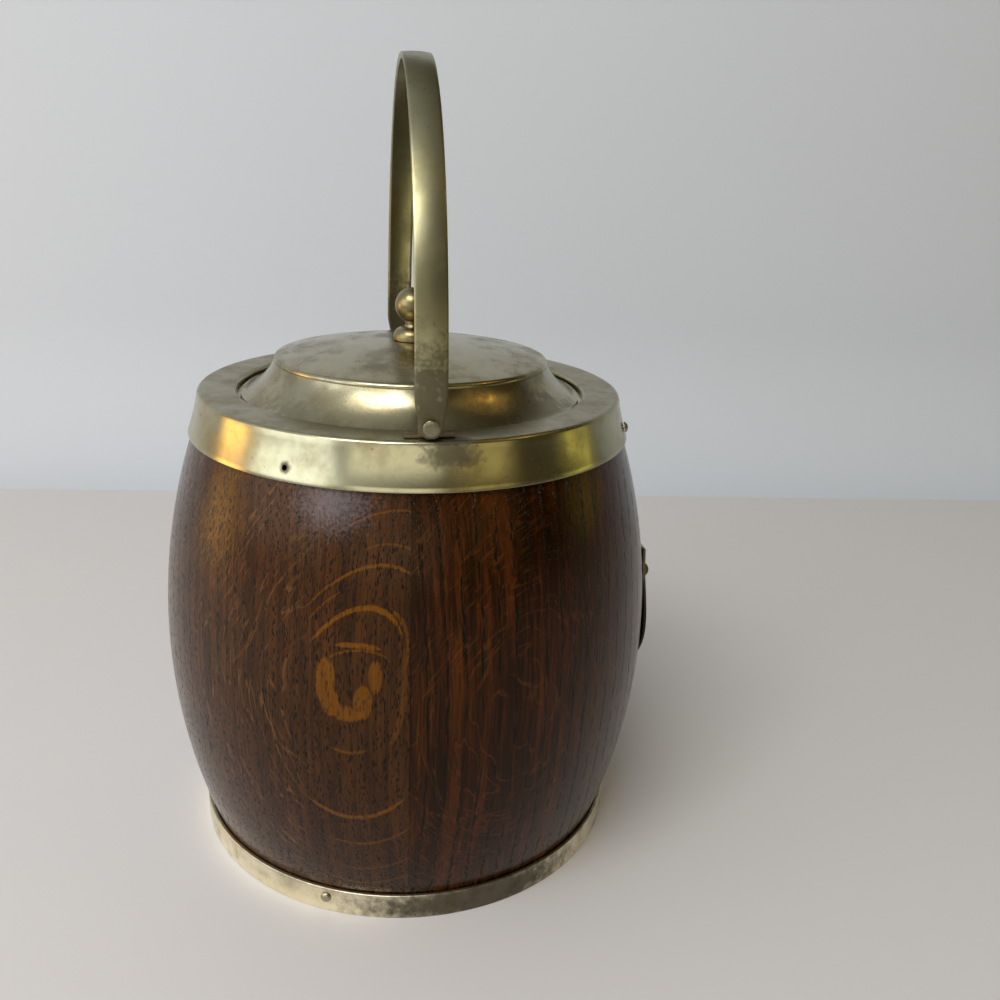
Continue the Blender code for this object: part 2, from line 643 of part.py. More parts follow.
def make_shield():
    """The shield plaque: straight across, and bent from top to tip to lie along the oak."""
    levels = evenly(SHIELD_TOP, SHIELD_TIP, SHIELD_ROWS)

    def point_at(row, across):
        height = levels[row]
        return Vector((shield_half_width(height) * across, SHIELD_SHEET / 2 - shield_face(height), height))

    shape = strip_shape(SHIELD_ROWS, point_at, SHIELD_SHEET, SHIELD_EDGE)
    return add_piece("shield", shape, "plate", BARREL)


def drill_hole(name, point, outward, drilled):
    """A pin's hole in each listed piece, from above the surface to just past the pin's point."""
    start = point - outward * (PIN_LENGTH + FIT)
    drill = add_helper(name, rod_shape(PIN_HOLE_RADIUS, start, point + outward * PIN_POINT))
    for piece in drilled:
        combine(piece, drill, "DIFFERENCE")


def add_pin(name, point, outward, head, drilled):
    """A round-headed pin driven in at a point of a surface, and its hole in each piece that it goes through."""
    drill_hole(name + "_hole", point, outward, drilled)
    radius, height = head
    dome = [(radius * x, FIT + height * y) for x, y in arc((0, 0), 1, 90, 0, PIN_HEAD_POINTS)[1:]]
    shank = [(PIN_SHANK_RADIUS, FIT), (PIN_SHANK_RADIUS, PIN_POINT - PIN_LENGTH), (0, -PIN_LENGTH)]
    outline = [(0, FIT + height), *dome, *shank]
    pin = add_piece(name, turned_shape(outline, PIN_STEPS, False), "pin_metal", BARREL)
    pin.location = point
    pin.rotation_euler = outward.to_track_quat("Z", "Y").to_euler()


def stave_behind(staves, point):
    """The stave that a point lies on."""
    turn = (math.atan2(point.y, point.x) - SEAM_TURN) % (2 * math.pi)
    return staves[int(turn / (2 * math.pi / STAVE_COUNT))]


def round_the_barrel(turn, radius, height):
    """A point at an angle in degrees, a distance from the axis and a height."""
    a = math.radians(turn)
    return Vector((radius * math.cos(a), radius * math.sin(a), height))


def skirt_place(turn):
    """A point in the middle of the collar's skirt, and the way out of the sheet there."""
    height = RIM_HEIGHT - COLLAR_PIN_DROP
    slope = (SKIRT_RADIUS - SHOULDER_RADIUS) / (SKIRT_DEPTH - SHOULDER_ROUND)
    radius = SHOULDER_RADIUS + slope * (COLLAR_PIN_DROP - SHOULDER_ROUND)
    return round_the_barrel(turn, radius, height), round_the_barrel(turn, 1, slope).normalized()


def make_collar_pins(collar, staves):
    """The pins through the collar's skirt, and the hole whose pin has been lost."""
    for number, turn in enumerate(COLLAR_PIN_TURNS, 1):
        point, outward = skirt_place(turn)
        add_pin(f"collar_pin_{number}", point, outward, SMALL_HEAD, (collar, stave_behind(staves, point)))
    point, outward = skirt_place(EMPTY_HOLE_TURN)
    drill_hole("empty_pin_hole", point, outward, (collar, stave_behind(staves, point)))


def make_hoop_pins(hoop, staves):
    """The pins through the base hoop."""
    for number, turn in enumerate(HOOP_PIN_TURNS, 1):
        point = round_the_barrel(turn, HOOP_RADIUS, HOOP_PIN_HEIGHT)
        outward = round_the_barrel(turn, 1, 0)
        add_pin(f"hoop_pin_{number}", point, outward, SMALL_HEAD, (hoop, stave_behind(staves, point)))


def make_shield_pins(shield, staves):
    """Two pins at the shield's shoulders and one at its tip."""
    places = (
        (-SHIELD_PIN_SIDE, SHIELD_PIN_HEIGHT),
        (SHIELD_PIN_SIDE, SHIELD_PIN_HEIGHT),
        (0, SHIELD_TIP_PIN_HEIGHT),
    )
    for number, (side, height) in enumerate(places, 1):
        point = Vector((side, -shield_face(height), height))
        tilt = math.asin((height - BELLY_HEIGHT) / BOW_RADIUS)
        outward = Vector((0, -math.cos(tilt), math.sin(tilt)))
        add_pin(f"shield_pin_{number}", point, outward, LARGE_HEAD, (shield, stave_behind(staves, point)))


for old in list(bpy.data.objects):
    bpy.data.objects.remove(old, do_unlink=True)

PARTS = make_collection("biscuit_barrel")
CUTTERS = make_collection("cutters")
MATERIALS = {name: make_material(name, *look) for name, look in COLOURS.items()}
BARREL = make_empty("barrel", 0)
LID = make_empty("lid_seat", LID_SEAT)
HANDLE = make_empty("handle_pivot", PIVOT_HEIGHT)
bpy.context.view_layer.update()

body_staves = make_staves()
make_board()
base_hoop = make_hoop()
make_liner()
spun_collar = make_collar()
make_lid()
make_knob()
make_handle()
for side_name, side_sign in (("left", -1), ("right", 1)):
    make_lug(side_name, side_sign)
    make_rivet(side_name, side_sign)
plaque = make_shield()
make_collar_pins(spun_collar, body_staves)
make_hoop_pins(base_hoop, body_staves)
make_shield_pins(plaque, body_staves)
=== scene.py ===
"""Looks of the biscuit barrel: a bellied oak body in worn plated mounts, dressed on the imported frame.

Lengths are in millimetres up to the moment that a mesh is finished, and the frame is in metres.
"""

import logging
import math
from dataclasses import dataclass
from enum import Enum
from functools import partial
from typing import Callable, ClassVar, Iterable, Sequence

import bmesh
import bpy
from mathutils import Matrix, Vector

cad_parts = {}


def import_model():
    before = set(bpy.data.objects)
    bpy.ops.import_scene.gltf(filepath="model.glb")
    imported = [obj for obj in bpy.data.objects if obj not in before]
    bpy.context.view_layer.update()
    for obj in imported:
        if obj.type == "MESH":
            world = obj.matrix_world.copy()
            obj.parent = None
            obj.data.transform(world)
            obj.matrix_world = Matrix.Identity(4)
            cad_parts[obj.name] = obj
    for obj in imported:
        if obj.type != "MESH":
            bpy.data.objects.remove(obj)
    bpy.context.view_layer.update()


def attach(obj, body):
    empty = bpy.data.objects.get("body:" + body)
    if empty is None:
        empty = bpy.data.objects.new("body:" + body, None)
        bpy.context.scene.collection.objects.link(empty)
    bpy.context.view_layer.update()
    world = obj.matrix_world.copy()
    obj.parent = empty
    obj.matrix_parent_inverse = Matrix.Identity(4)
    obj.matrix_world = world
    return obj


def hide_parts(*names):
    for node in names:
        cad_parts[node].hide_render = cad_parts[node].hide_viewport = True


log = logging.getLogger("biscuit_barrel")

MM = 0.001
WELD = 0.001  # mm, points closer than this become one
SMOOTH_ANGLE = math.radians(32)  # edges sharper than this stay crisp
BEVEL_ANGLE = math.radians(50)  # edges sharper than this are softened
WIDE_STEPS = 224  # round the wide turned pieces
SMOOTH = {"interpolation_type": "SMOOTHSTEP"}  # a span that starts and ends softly

Point = tuple[float, float]
Triple = tuple[float, float, float]
Mesh = bmesh.types.BMesh
Material = bpy.types.Material
Tree = bpy.types.NodeTree
Socket = bpy.types.NodeSocket
Feeds = dict[int | str, object]  # a value or an output for inputs of a node, by name or number


class Body(Enum):
    """The bodies of the frame that a piece can ride on."""

    BARREL = "body"
    HANDLE = "handle"
    LID = "lid"


class Slot(Enum):
    """The record's material slots."""

    OAK = "oak"
    CHINA = "china"
    PLATE = "plate"
    PIN = "pin_metal"


def linear(hex_colour: str) -> tuple[float, float, float, float]:
    """Turns an sRGB hex colour to linear light.

    Args:
        hex_colour: six hex digits.

    Returns:
        Red, green, blue and an alpha of 1.
    """
    channels = []
    for start in (0, 2, 4):
        share = int(hex_colour[start : start + 2], 16) / 255
        channels.append(share / 12.92 if share <= 0.04045 else ((share + 0.055) / 1.055) ** 2.4)
    return (*channels, 1.0)


def feed(node: bpy.types.Node, feeds: Feeds) -> None:
    """Gives a node's inputs their values and links.

    Args:
        node: in its tree.
        feeds: for its inputs. Where two have one name, it goes to the one in use.
    """
    for key, value in feeds.items():
        in_use = [s for s in node.inputs if s.name == key and s.enabled]
        socket = in_use[0] if in_use else node.inputs[key]
        if isinstance(value, Socket):
            node.id_data.links.new(value, socket)
        else:
            socket.default_value = value


def add_node(tree: Tree, kind: str, feeds: Feeds, out: str = "", **settings: object) -> Socket:
    """Adds a shader node with its settings and links.

    Args:
        tree: node tree of a material or the world.
        kind: node type, without its ShaderNode prefix.
        feeds: for its inputs.
        out: name of the output that is wanted, if it isn't the first.
        settings: properties of the node.

    Returns:
        The wanted output.
    """
    node = tree.nodes.new("ShaderNode" + kind)
    for name, value in settings.items():
        setattr(node, name, value)
    feed(node, feeds)
    return node.outputs[out] if out else next(s for s in node.outputs if s.enabled)


def new_material(name: str) -> Material:
    """Starts a material.

    Args:
        name: of the finish.

    Returns:
        The material, with nothing but its shader.
    """
    material = bpy.data.materials.new(name)
    material.use_nodes = True
    return material


def shaded(material: Material, feeds: Feeds) -> Material:
    """Gives a material's shader its values and links, and hands the material on."""
    feed(material.node_tree.nodes["Principled BSDF"], feeds)
    return material


def in_millimetres(tree: Tree) -> Socket:
    """Place on the object in millimetres."""
    place = add_node(tree, "TexCoord", {}, out="Object")
    return add_node(tree, "VectorMath", {0: place, 1: (1 / MM,) * 3}, operation="MULTIPLY")


def laid_over(tree: Tree, ground: str, coats: Iterable[tuple[Socket, str]]) -> Socket:
    """Lays colours over one another.

    Args:
        tree: of the material.
        ground: the lowest colour.
        coats: share and colour of each coat on it, from the lowest up.

    Returns:
        The colour that shows.
    """
    shown = linear(ground)
    for share, coat in coats:
        feeds = {"Factor": share, "A": shown, "B": linear(coat)}
        shown = add_node(tree, "Mix", feeds, data_type="RGBA")
    return shown


def evenly(start: float, end: float, count: int) -> list[float]:
    """Evenly spaced values, both ends included."""
    return [start + (end - start) * i / (count - 1) for i in range(count)]


def arc(centre: Point, radius: float, start: float, end: float, count: int) -> list[Point]:
    """Points on a circle between two angles in degrees, both ends included."""
    angles = [math.radians(a) for a in evenly(start, end, count)]
    return [(centre[0] + radius * math.cos(a), centre[1] + radius * math.sin(a)) for a in angles]


def sagging(start: Point, end: Point, sag: float, count: int) -> list[Point]:
    """A shallow curve between two points.

    Args:
        start: its first point.
        end: its last point.
        sag: how far its middle lies to the right of its way.
        count: of its points.

    Returns:
        The points.
    """
    way = Vector(end) - Vector(start)
    right = Vector((way.y, -way.x)).normalized()
    return [tuple(Vector(start) + way * t + right * (sag * 4 * t * (1 - t))) for t in evenly(0, 1, count)]


def outline_mesh(points: Iterable[Point], closed: bool) -> Mesh:
    """A wire outline in the XZ plane.

    Args:
        points: distances from the axis and heights.
        closed: whether the last point joins the first.

    Returns:
        A mesh with its vertices and edges.
    """
    bm = bmesh.new()
    verts = [bm.verts.new((radius, 0, height)) for radius, height in points]
    for start, end in zip(verts, verts[1:]):
        bm.edges.new((start, end))
    if closed:
        bm.edges.new((verts[-1], verts[0]))
    return bm


def turned(section: Iterable[Point], steps: int, closed: bool = True) -> Mesh:
    """Turns a section once round Z, as a lathe does.

    Args:
        section: distances from the axis and heights.
        steps: round the piece.
        closed: False where the section starts and ends on the axis.

    Returns:
        A closed mesh, with its faces pointing out.
    """
    bm = outline_mesh(section, closed)
    geom = [*bm.verts, *bm.edges]
    bmesh.ops.spin(bm, geom=geom, axis=(0, 0, 1), angle=math.tau, steps=steps, use_merge=True)
    bmesh.ops.remove_doubles(bm, verts=bm.verts, dist=WELD)
    bmesh.ops.recalc_face_normals(bm, faces=bm.faces)
    return bm


def soften(bm: Mesh, offset: float, segments: int = 2) -> None:
    """Bevels the sharp edges.

    Args:
        bm: a closed mesh.
        offset: width of the bevel.
        segments: its steps.
    """
    sharp = [e for e in bm.edges if e.is_manifold and e.calc_face_angle(0) > BEVEL_ANGLE]
    bmesh.ops.bevel(
        bm, geom=sharp, offset=offset, segments=segments, affect="EDGES", profile=0.5, material=-1
    )


def sheet_section(shown: Sequence[Point], sheet: float) -> list[Point]:
    """Section of a turned sheet.

    Args:
        shown: its side that shows, with the metal to the right of its way.
        sheet: its thickness.

    Returns:
        The closed section.
    """
    back = []
    for i, point in enumerate(shown):
        ways = [Vector(shown[j + 1]) - Vector(shown[j]) for j in (i - 1, i) if 0 <= j < len(shown) - 1]
        ways = [way.normalized() for way in ways]
        mean = sum(ways, Vector((0, 0))).normalized()
        reach = sheet / mean.dot(ways[0])
        back.append((point[0] + mean.y * reach, point[1] - mean.x * reach))
    return [*shown, *back[::-1]]


def strip(rows: int, columns: int, place: Callable[[float, float], Vector], sheet: float) -> Mesh:
    """A bent strip of even thickness.

    Args:
        rows: points along it.
        columns: points across it.
        place: gives the middle of the sheet for shares along (0 to 1) and across (-1 to 1).
        sheet: its thickness.

    Returns:
        A closed mesh.
    """
    bm = bmesh.new()
    bmesh.ops.create_grid(bm, x_segments=rows - 1, y_segments=columns - 1, size=1)
    for vert in bm.verts:
        vert.co = place((vert.co.x + 1) / 2, vert.co.y)
    bm.normal_update()
    for vert in bm.verts:
        vert.co += vert.normal * (sheet / 2)
    bmesh.ops.solidify(bm, geom=bm.faces[:], thickness=sheet)
    bmesh.ops.recalc_face_normals(bm, faces=bm.faces)
    return bm


def new_object(name: str, bm: Mesh) -> bpy.types.Object:
    """Puts a mesh in the scene.

    Args:
        name: of the object.
        bm: its mesh, which is used up.

    Returns:
        The object.
    """
    mesh = bpy.data.meshes.new(name)
    bm.to_mesh(mesh)
    bm.free()
    made = bpy.data.objects.new(name, mesh)
    bpy.context.scene.collection.objects.link(made)
    return made


def combined(base: Mesh, tools: Iterable[tuple[str, Mesh]]) -> Mesh:
    """Joins shapes on a base or cuts them out of it.

    Args:
        base: the mesh to work on, which is used up.
        tools: an operation, UNION or DIFFERENCE, and a mesh for each tool. They are used up.

    Returns:
        The resulting mesh.
    """
    work = new_object("work", base)
    helpers = []
    for operation, tool in tools:
        helper = new_object("helper", tool)
        boolean = work.modifiers.new("Combine", "BOOLEAN")
        boolean.operation = operation
        boolean.solver = "EXACT"
        boolean.object = helper
        helpers.append(helper)
    bpy.context.view_layer.update()
    mesh = bpy.data.meshes.new_from_object(work.evaluated_get(bpy.context.evaluated_depsgraph_get()))
    for made in (work, *helpers):
        bpy.data.objects.remove(made)
    bm = bmesh.new()
    bm.from_mesh(mesh)
    bpy.data.meshes.remove(mesh)
    bmesh.ops.remove_doubles(bm, verts=bm.verts, dist=WELD)
    return bm


def aimed(place: Vector, way: Vector, axis: str = "Z") -> Matrix:
    """Turn and place of a thing whose axis points along a way."""
    return Matrix.Translation(place) @ way.to_track_quat(axis, "Y").to_matrix().to_4x4()


def rod(radius: float, start: Vector, end: Vector, steps: int = 24) -> Mesh:
    """A round rod.

    Args:
        radius: of the rod.
        start: the middle of one end.
        end: the middle of the other.
        steps: round it.

    Returns:
        Its mesh.
    """
    way = end - start
    bm = bmesh.new()
    sizes = {"radius1": radius, "radius2": radius, "depth": way.length}
    bmesh.ops.create_cone(bm, cap_ends=True, segments=steps, **sizes)
    bmesh.ops.transform(bm, matrix=aimed((start + end) / 2, way), verts=bm.verts)
    return bm


def round_the_barrel(angle: float, radius: float, height: float) -> Vector:
    """A point at an angle in degrees from +X, a distance from the axis and a height."""
    a = math.radians(angle)
    return Vector((radius * math.cos(a), radius * math.sin(a), height))


def finished(name: str, bm: Mesh, material: Material) -> bpy.types.Object:
    """Puts a mesh in the scene in metres, smooth and with its material.

    Args:
        name: of the object.
        bm: its mesh in millimetres, which is used up.
        material: its finish.

    Returns:
        The object.
    """
    bmesh.ops.scale(bm, vec=(MM, MM, MM), verts=bm.verts)
    made = new_object(name, bm)
    made.data.shade_smooth()
    made.data.set_sharp_from_angle(angle=SMOOTH_ANGLE)
    made.data.materials.append(material)
    return made


def add_piece(
    name: str, node: str, bm: Mesh, material: Material, body: Body = Body.BARREL, slot: Slot = Slot.PLATE
) -> None:
    """Finishes a piece and ties it to the frame.

    Args:
        name: of the piece.
        node: of the frame that it stands for.
        bm: its mesh in millimetres, in its place, which is used up.
        material: its finish.
        body: that it rides on.
        slot: not used.
    """
    piece = finished(name, bm, material)
    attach(piece, body.value)
    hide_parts(node)
    log.info("%s: %d faces, for %s", name, len(piece.data.polygons), node)


def dress(nodes: Iterable[str], material: Material) -> None:
    """Gives nodes of the frame a better material.

    Args:
        nodes: their names.
        material: the finish.
    """
    for name in nodes:
        node = bpy.data.objects[name]
        if not node.material_slots:
            node.data.materials.append(material)
        for slot in node.material_slots:
            slot.material = material
        log.info("%s: dressed with %s", name, material.name)


@dataclass(frozen=True)
class BarrelForm:
    """The barrel's outer form, which the mounts follow."""

    belly_radius: float = 79.9
    belly_height: float = 70.5
    bow_radius: float = 200  # of the staves' bulge, from head to foot
    rim_height: float = 150
    stave_top: float = 148.8
    hoop_height: float = 8.2
    seams: tuple[float, ...] = (-4.3, 85.7, 175.7, 265.7)  # degrees from +X
    hole_turn: float = 146.4  # where the collar's lost pin was
    hole_radius: float = 0.8

    def slope(self, height: float) -> float:
        """How far the oak leans in from upright at a height, in radians."""
        return math.asin((height - self.belly_height) / self.bow_radius)

    def radius(self, height: float) -> float:
        """Outer radius of the oak at a height."""
        rise = height - self.belly_height
        return self.belly_radius - self.bow_radius + math.sqrt(self.bow_radius**2 - rise**2)


@dataclass(frozen=True)
class Mottling:
    """Uneven streaks or patches all through a material."""

    per_mm: float  # how many there are in a millimetre
    detail: float  # how many finer layers they hold
    span: Point  # of the noise, which is spread from nothing to the most
    roughness: float = 0.62  # how strong the finer layers are
    stretch: Triple = (1, 1, 1)  # under 1 makes them longer along that axis

    def share(self, tree: Tree, place: Socket, most: float = 1, seed: float = 0) -> Socket:
        """Draws them.

        Args:
            tree: of the material.
            place: in millimetres.
            most: share in their middles.
            seed: tells two boards apart.

        Returns:
            Their share.
        """
        feeds = {0: place, 1: self.stretch, 2: (seed,) * 3}
        place = add_node(tree, "VectorMath", feeds, operation="MULTIPLY_ADD")
        feeds = {"Vector": place, "Scale": self.per_mm, "Detail": self.detail, "Roughness": self.roughness}
        noise = add_node(tree, "TexNoise", feeds)
        feeds = {"Value": noise, "From Min": self.span[0], "From Max": self.span[1], "To Max": most}
        return add_node(tree, "MapRange", feeds, **SMOOTH)


@dataclass(frozen=True)
class Patch:
    """A patch of stain, painted shade or painted sheen, with its reach along each axis."""

    place: Triple
    reach: Triple
    strength: float
    ragged: float  # how far the edge wanders, where 0 is a plain oval
    edge: float = 1.1  # where the mark starts, as a share of the reach
    fade: float = 0.7  # how much further in it is full

    def share(self, tree: Tree, mm: Socket, noise: Socket) -> Socket:
        """Draws the mark.

        Args:
            tree: of the material.
            mm: place in millimetres.
            noise: that its edge follows.

        Returns:
            Its share, from 0 to its strength.
        """
        size = tuple(1 / reach for reach in self.reach)
        away = add_node(tree, "VectorMath", {0: mm, 1: self.place}, operation="SUBTRACT")
        away = add_node(tree, "VectorMath", {0: away, 1: size}, operation="MULTIPLY")
        away = add_node(tree, "VectorMath", {0: away}, out="Value", operation="LENGTH")
        away = add_node(tree, "Math", {0: noise, 1: -self.ragged, 2: away}, operation="MULTIPLY_ADD")
        edge = self.edge - 0.5 * self.ragged  # as the noise is 0.5 in the mean
        feeds = {"Value": away, "From Min": edge, "From Max": edge - self.fade, "To Max": self.strength}
        return add_node(tree, "MapRange", feeds, **SMOOTH)


@dataclass(frozen=True)
class Ray:
    """One broad medullary ray, a thin sheet through the board that shows where the turned face grazes it.

    Its middle, reach and tilt are across and along the board.
    """

    depth: float
    half: float  # of its thickness
    middle: Point
    reach: Point
    strength: float
    tilt: Point = (0, 0)
    thinning: float = 0.55  # share of the reach from which it thins out

    def share(self, tree: Tree, sheet: Socket) -> Socket:
        """Draws the ray.

        Args:
            tree: of the material.
            sheet: place in the board, as the rays lie in it.

        Returns:
            Its share, from 0 to its strength.
        """
        across, along = self.reach
        facing = (self.tilt[0], 1, self.tilt[1])
        away = add_node(tree, "VectorMath", {0: sheet, 1: facing}, out="Value", operation="DOT_PRODUCT")
        away = add_node(tree, "Math", {0: away, 1: self.depth}, operation="SUBTRACT")
        away = add_node(tree, "Math", {0: away}, operation="ABSOLUTE")
        start = (-self.middle[0] / across, 0, -self.middle[1] / along)
        feeds = {0: sheet, 1: (1 / across, 0, 1 / along), 2: start}
        out = add_node(tree, "VectorMath", feeds, operation="MULTIPLY_ADD")
        out = add_node(tree, "VectorMath", {0: out}, out="Value", operation="LENGTH")
        feeds = {"Value": out, "From Min": 1, "From Max": self.thinning, "To Max": self.half}
        half = add_node(tree, "MapRange", feeds, **SMOOTH)
        inside = add_node(tree, "Math", {0: half, 1: away}, operation="SUBTRACT")
        feeds = {"Value": inside, "From Max": 0.5 * self.half, "To Max": self.strength}
        return add_node(tree, "MapRange", feeds, **SMOOTH)


@dataclass(frozen=True)
class OakFinish:
    """Quarter-sawn oak, turned, stained nearly black and lacquered.

    To the eye it is a dark brown gloss with warm streaks, dark open pores and pale ray figure. The
    grain is drawn through the whole board, so the turned face cuts it as a lathe does: long pores
    where the face runs with the fibre, short ones where it slopes, and rings of ray figure. Oak's
    pores are up to 0.4 mm wide, and the glints at their edges finer still, which is too fine to show.
    They are drawn up to 0.9 mm wide, and the glints are painted as pale specks up to 0.3 mm wide.
    """

    # Noises, whose scale is the number of swells in a millimetre.
    SWAY: ClassVar[Feeds] = {"Scale": 0.045, "Detail": 2}  # of the fibre, over about 20 mm
    RIPPLE: ClassVar[Feeds] = {"Scale": 1.1, "Detail": 3, "Roughness": 0.7}  # of the lacquer
    LAYERS: ClassVar[Feeds] = {"Scale": 1, "Detail": 1.5}  # of the flecks
    SPECKS: ClassVar[Feeds] = {"Scale": 3.4, "Detail": 0}  # of the painted glints

    name: str
    facing: float  # degrees from +X that the rays' flat sides face
    height: float  # where that facing touches the barrel
    ground: str = "2f1706"
    dark: str = "180b02"
    light: str = "48270b"
    ray_colour: str = "5e3808"
    fleck_colour: str = "5c3c1c"
    pore_colour: str = "080402"
    fibre: Mottling = Mottling(1.7, 4, (0.3, 0.68), 0.6, (1, 0.5, 0.05))
    streak: Mottling = Mottling(0.42, 4, (0.38, 0.66), 0.6, (1, 0.12, 0.035))
    warmth: float = 0.35  # of the streaks, where the fibre is dark
    clouds: Mottling = Mottling(0.06, 2, (0.4, 0.68), 0.6, (1, 1, 0.35))
    cloud: float = 0.45  # darkness of the clouds
    wander: Triple = (1.1, 0.3, 0)  # mm that the fibre strays across the board, into it and along it
    ring_width: float = 3.2  # mm that the tree grew in a year
    ring_share: float = 0.4  # of its early wood
    pore_pitch: float = 0.76  # mm from one to the next
    pore_length: float = 3.8
    pore_least: float = 0.27  # half width in the late wood, as a share of the pitch
    pore_most: float = 0.42  # and in the early wood
    fleck: float = 0.4  # strength of the fine ray flecks
    fleck_depth: float = 1.6  # mm from one layer of flecks to the next
    fleck_start: float = 2  # depth in the board from which there are flecks
    fleck_edge: float = 100  # across the board, up to which there are flecks
    fleck_swells: Point = (0.05, 0.035)  # in a millimetre, across the board and along it
    fleck_wave: float = 1  # how much shorter and wavier they are
    breaks: Mottling = Mottling(0.09, 1.5, (0.36, 0.5), 0.5)  # where the flecks are broken off
    lean_start: float = 6  # height above the facing from which the rays lean over
    lean: float = 0.33  # mm to the side for each mm up
    lean_round: float = 160  # twice the radius that the leaning rays follow, which is the belly's
    rays: tuple[Ray, ...] = ()
    ray_least: float = 0.62  # strength of the rays where the fibre is dark
    ray_cover: float = 0.55  # how far the rays hide the pores
    fraying: float = 0.06  # mm that the fibre moves the edges of the rays
    glints: float = 0.9  # paleness of the painted glints, pale specks in the pores near the collar
    # colour of the painted glints and of the painted sheen
    sheen_colour: str = "92929c"
    glint_start: float = 112
    glint_rise: float = 30  # mm over which it becomes full
    painted_sheens: tuple[Patch, ...] = ()  # painted sheen: pale milky patches, in the colour of the painted glints
    painted_shades: tuple[Patch, ...] = ()  # painted shade: darker patches where the lacquer's reflection is dim
    gloss: float = 0.16  # roughness of the lacquer
    dullness: float = 0.2  # how much rougher the pores are
    relief: float = 0.06  # mm, of the pores
    fibre_relief: float = 0.4  # of that, for the fibre
    ior: float = 1.38  # under the 1.5 of new lacquer, because this has worn thin and mirrors less
    gleam: str = "dcbca0"
    seed: float = 0

    def material(self, form: BarrelForm) -> Material:
        """Builds the finish.

        Args:
            form: the barrel's outer form, which the rays' facing touches.

        Returns:
            The material.
        """
        material = new_material(self.name)
        tree = material.node_tree
        mm = in_millimetres(tree)
        touch = round_the_barrel(self.facing, form.radius(self.height), self.height)
        turn = (-form.slope(self.height), 0, math.radians(self.facing + 90))
        feeds = {"Vector": mm, "Location": touch, "Rotation": turn}
        board = add_node(tree, "Mapping", feeds, vector_type="TEXTURE")
        grain = self._grain(tree, board)
        fibre = self.fibre.share(tree, grain, seed=self.seed)
        streak = self.streak.share(tree, grain, seed=self.seed)
        warm = add_node(tree, "Math", {0: streak, 1: fibre}, operation="MULTIPLY")
        warm = add_node(tree, "Math", {0: streak, 1: self.warmth, 2: warm}, operation="MULTIPLY_ADD")
        ripple = add_node(tree, "TexNoise", {"Vector": mm, **self.RIPPLE})

        sheet = self._ray_sheets(tree, grain)
        rays = self._rays(tree, sheet, fibre)
        lit = add_node(tree, "MapRange", {"Value": fibre, "To Min": self.ray_least})
        lit = add_node(tree, "Math", {0: rays, 1: lit}, operation="MULTIPLY")
        bare = add_node(tree, "Math", {0: rays, 1: -self.ray_cover, 2: 1}, operation="MULTIPLY_ADD")
        pores = self._pores(tree, grain)
        pores = add_node(tree, "Math", {0: pores, 1: bare}, operation="MULTIPLY")
        # Painted glints and painted sheen, laid on in one pale colour.
        pale = self._glints(tree, mm, pores)
        for sheen_patch in self.painted_sheens:
            feeds = {0: pale, 1: sheen_patch.share(tree, mm, ripple)}
            pale = add_node(tree, "Math", feeds, operation="MAXIMUM")

        coats = [
            (fibre, self.ground),
            (warm, self.light),
            (self.clouds.share(tree, board, self.cloud, self.seed), self.dark),
            (self._flecks(tree, board, sheet), self.fleck_colour),
            # painted shade
            *[(shade.share(tree, mm, ripple), self.dark) for shade in self.painted_shades],
            (lit, self.ray_colour),
            (pores, self.pore_colour),
            # painted glints and painted sheen
            (pale, self.sheen_colour),
        ]
        feeds = {"Value": pores, "To Min": self.gloss, "To Max": self.gloss + self.dullness}
        dull = add_node(tree, "MapRange", feeds)
        relief = add_node(tree, "Math", {0: pores, 1: -1, 2: ripple}, operation="MULTIPLY_ADD")
        feeds = {0: fibre, 1: self.fibre_relief, 2: relief}
        relief = add_node(tree, "Math", feeds, operation="MULTIPLY_ADD")
        feeds = {"Strength": 0.8, "Distance": self.relief * MM, "Height": relief}
        bump = add_node(tree, "Bump", feeds)
        colour = laid_over(tree, self.dark, coats)
        feeds = {"Base Color": colour, "Roughness": dull, "Normal": bump, "IOR": self.ior}
        feeds["Specular Tint"] = linear(self.gleam)
        return shaded(material, feeds)

    def _grain(self, tree: Tree, board: Socket) -> Socket:
        """Lets the fibre stray.

        Args:
            tree: of the material.
            board: place in the board, in millimetres.

        Returns:
            Place in the board, as the fibre runs.
        """
        sway = add_node(tree, "TexNoise", {"Vector": board, **self.SWAY}, out="Color")
        sway = add_node(tree, "VectorMath", {0: sway, 1: (0.5, 0.5, 0.5)}, operation="SUBTRACT")
        feeds = {0: sway, 1: self.wander, 2: board}
        return add_node(tree, "VectorMath", feeds, operation="MULTIPLY_ADD")

    def _rings(self, tree: Tree, grain: Socket) -> Socket:
        """Draws the early wood of each year's growth.

        Args:
            tree: of the material.
            grain: place in the board, as the fibre runs.

        Returns:
            Its share, across the board.
        """
        across = add_node(tree, "SeparateXYZ", {"Vector": grain}, out="X")
        years = add_node(tree, "Math", {0: across, 1: 1 / self.ring_width}, operation="MULTIPLY")
        phase = add_node(tree, "Math", {0: years}, operation="FRACT")
        rise = add_node(tree, "MapRange", {"Value": phase, "From Max": 0.1}, **SMOOTH)
        feeds = {"Value": phase, "From Min": 1.5 * self.ring_share, "From Max": 0.5 * self.ring_share}
        fall = add_node(tree, "MapRange", feeds, **SMOOTH)
        return add_node(tree, "Math", {0: rise, 1: fall}, operation="MULTIPLY")

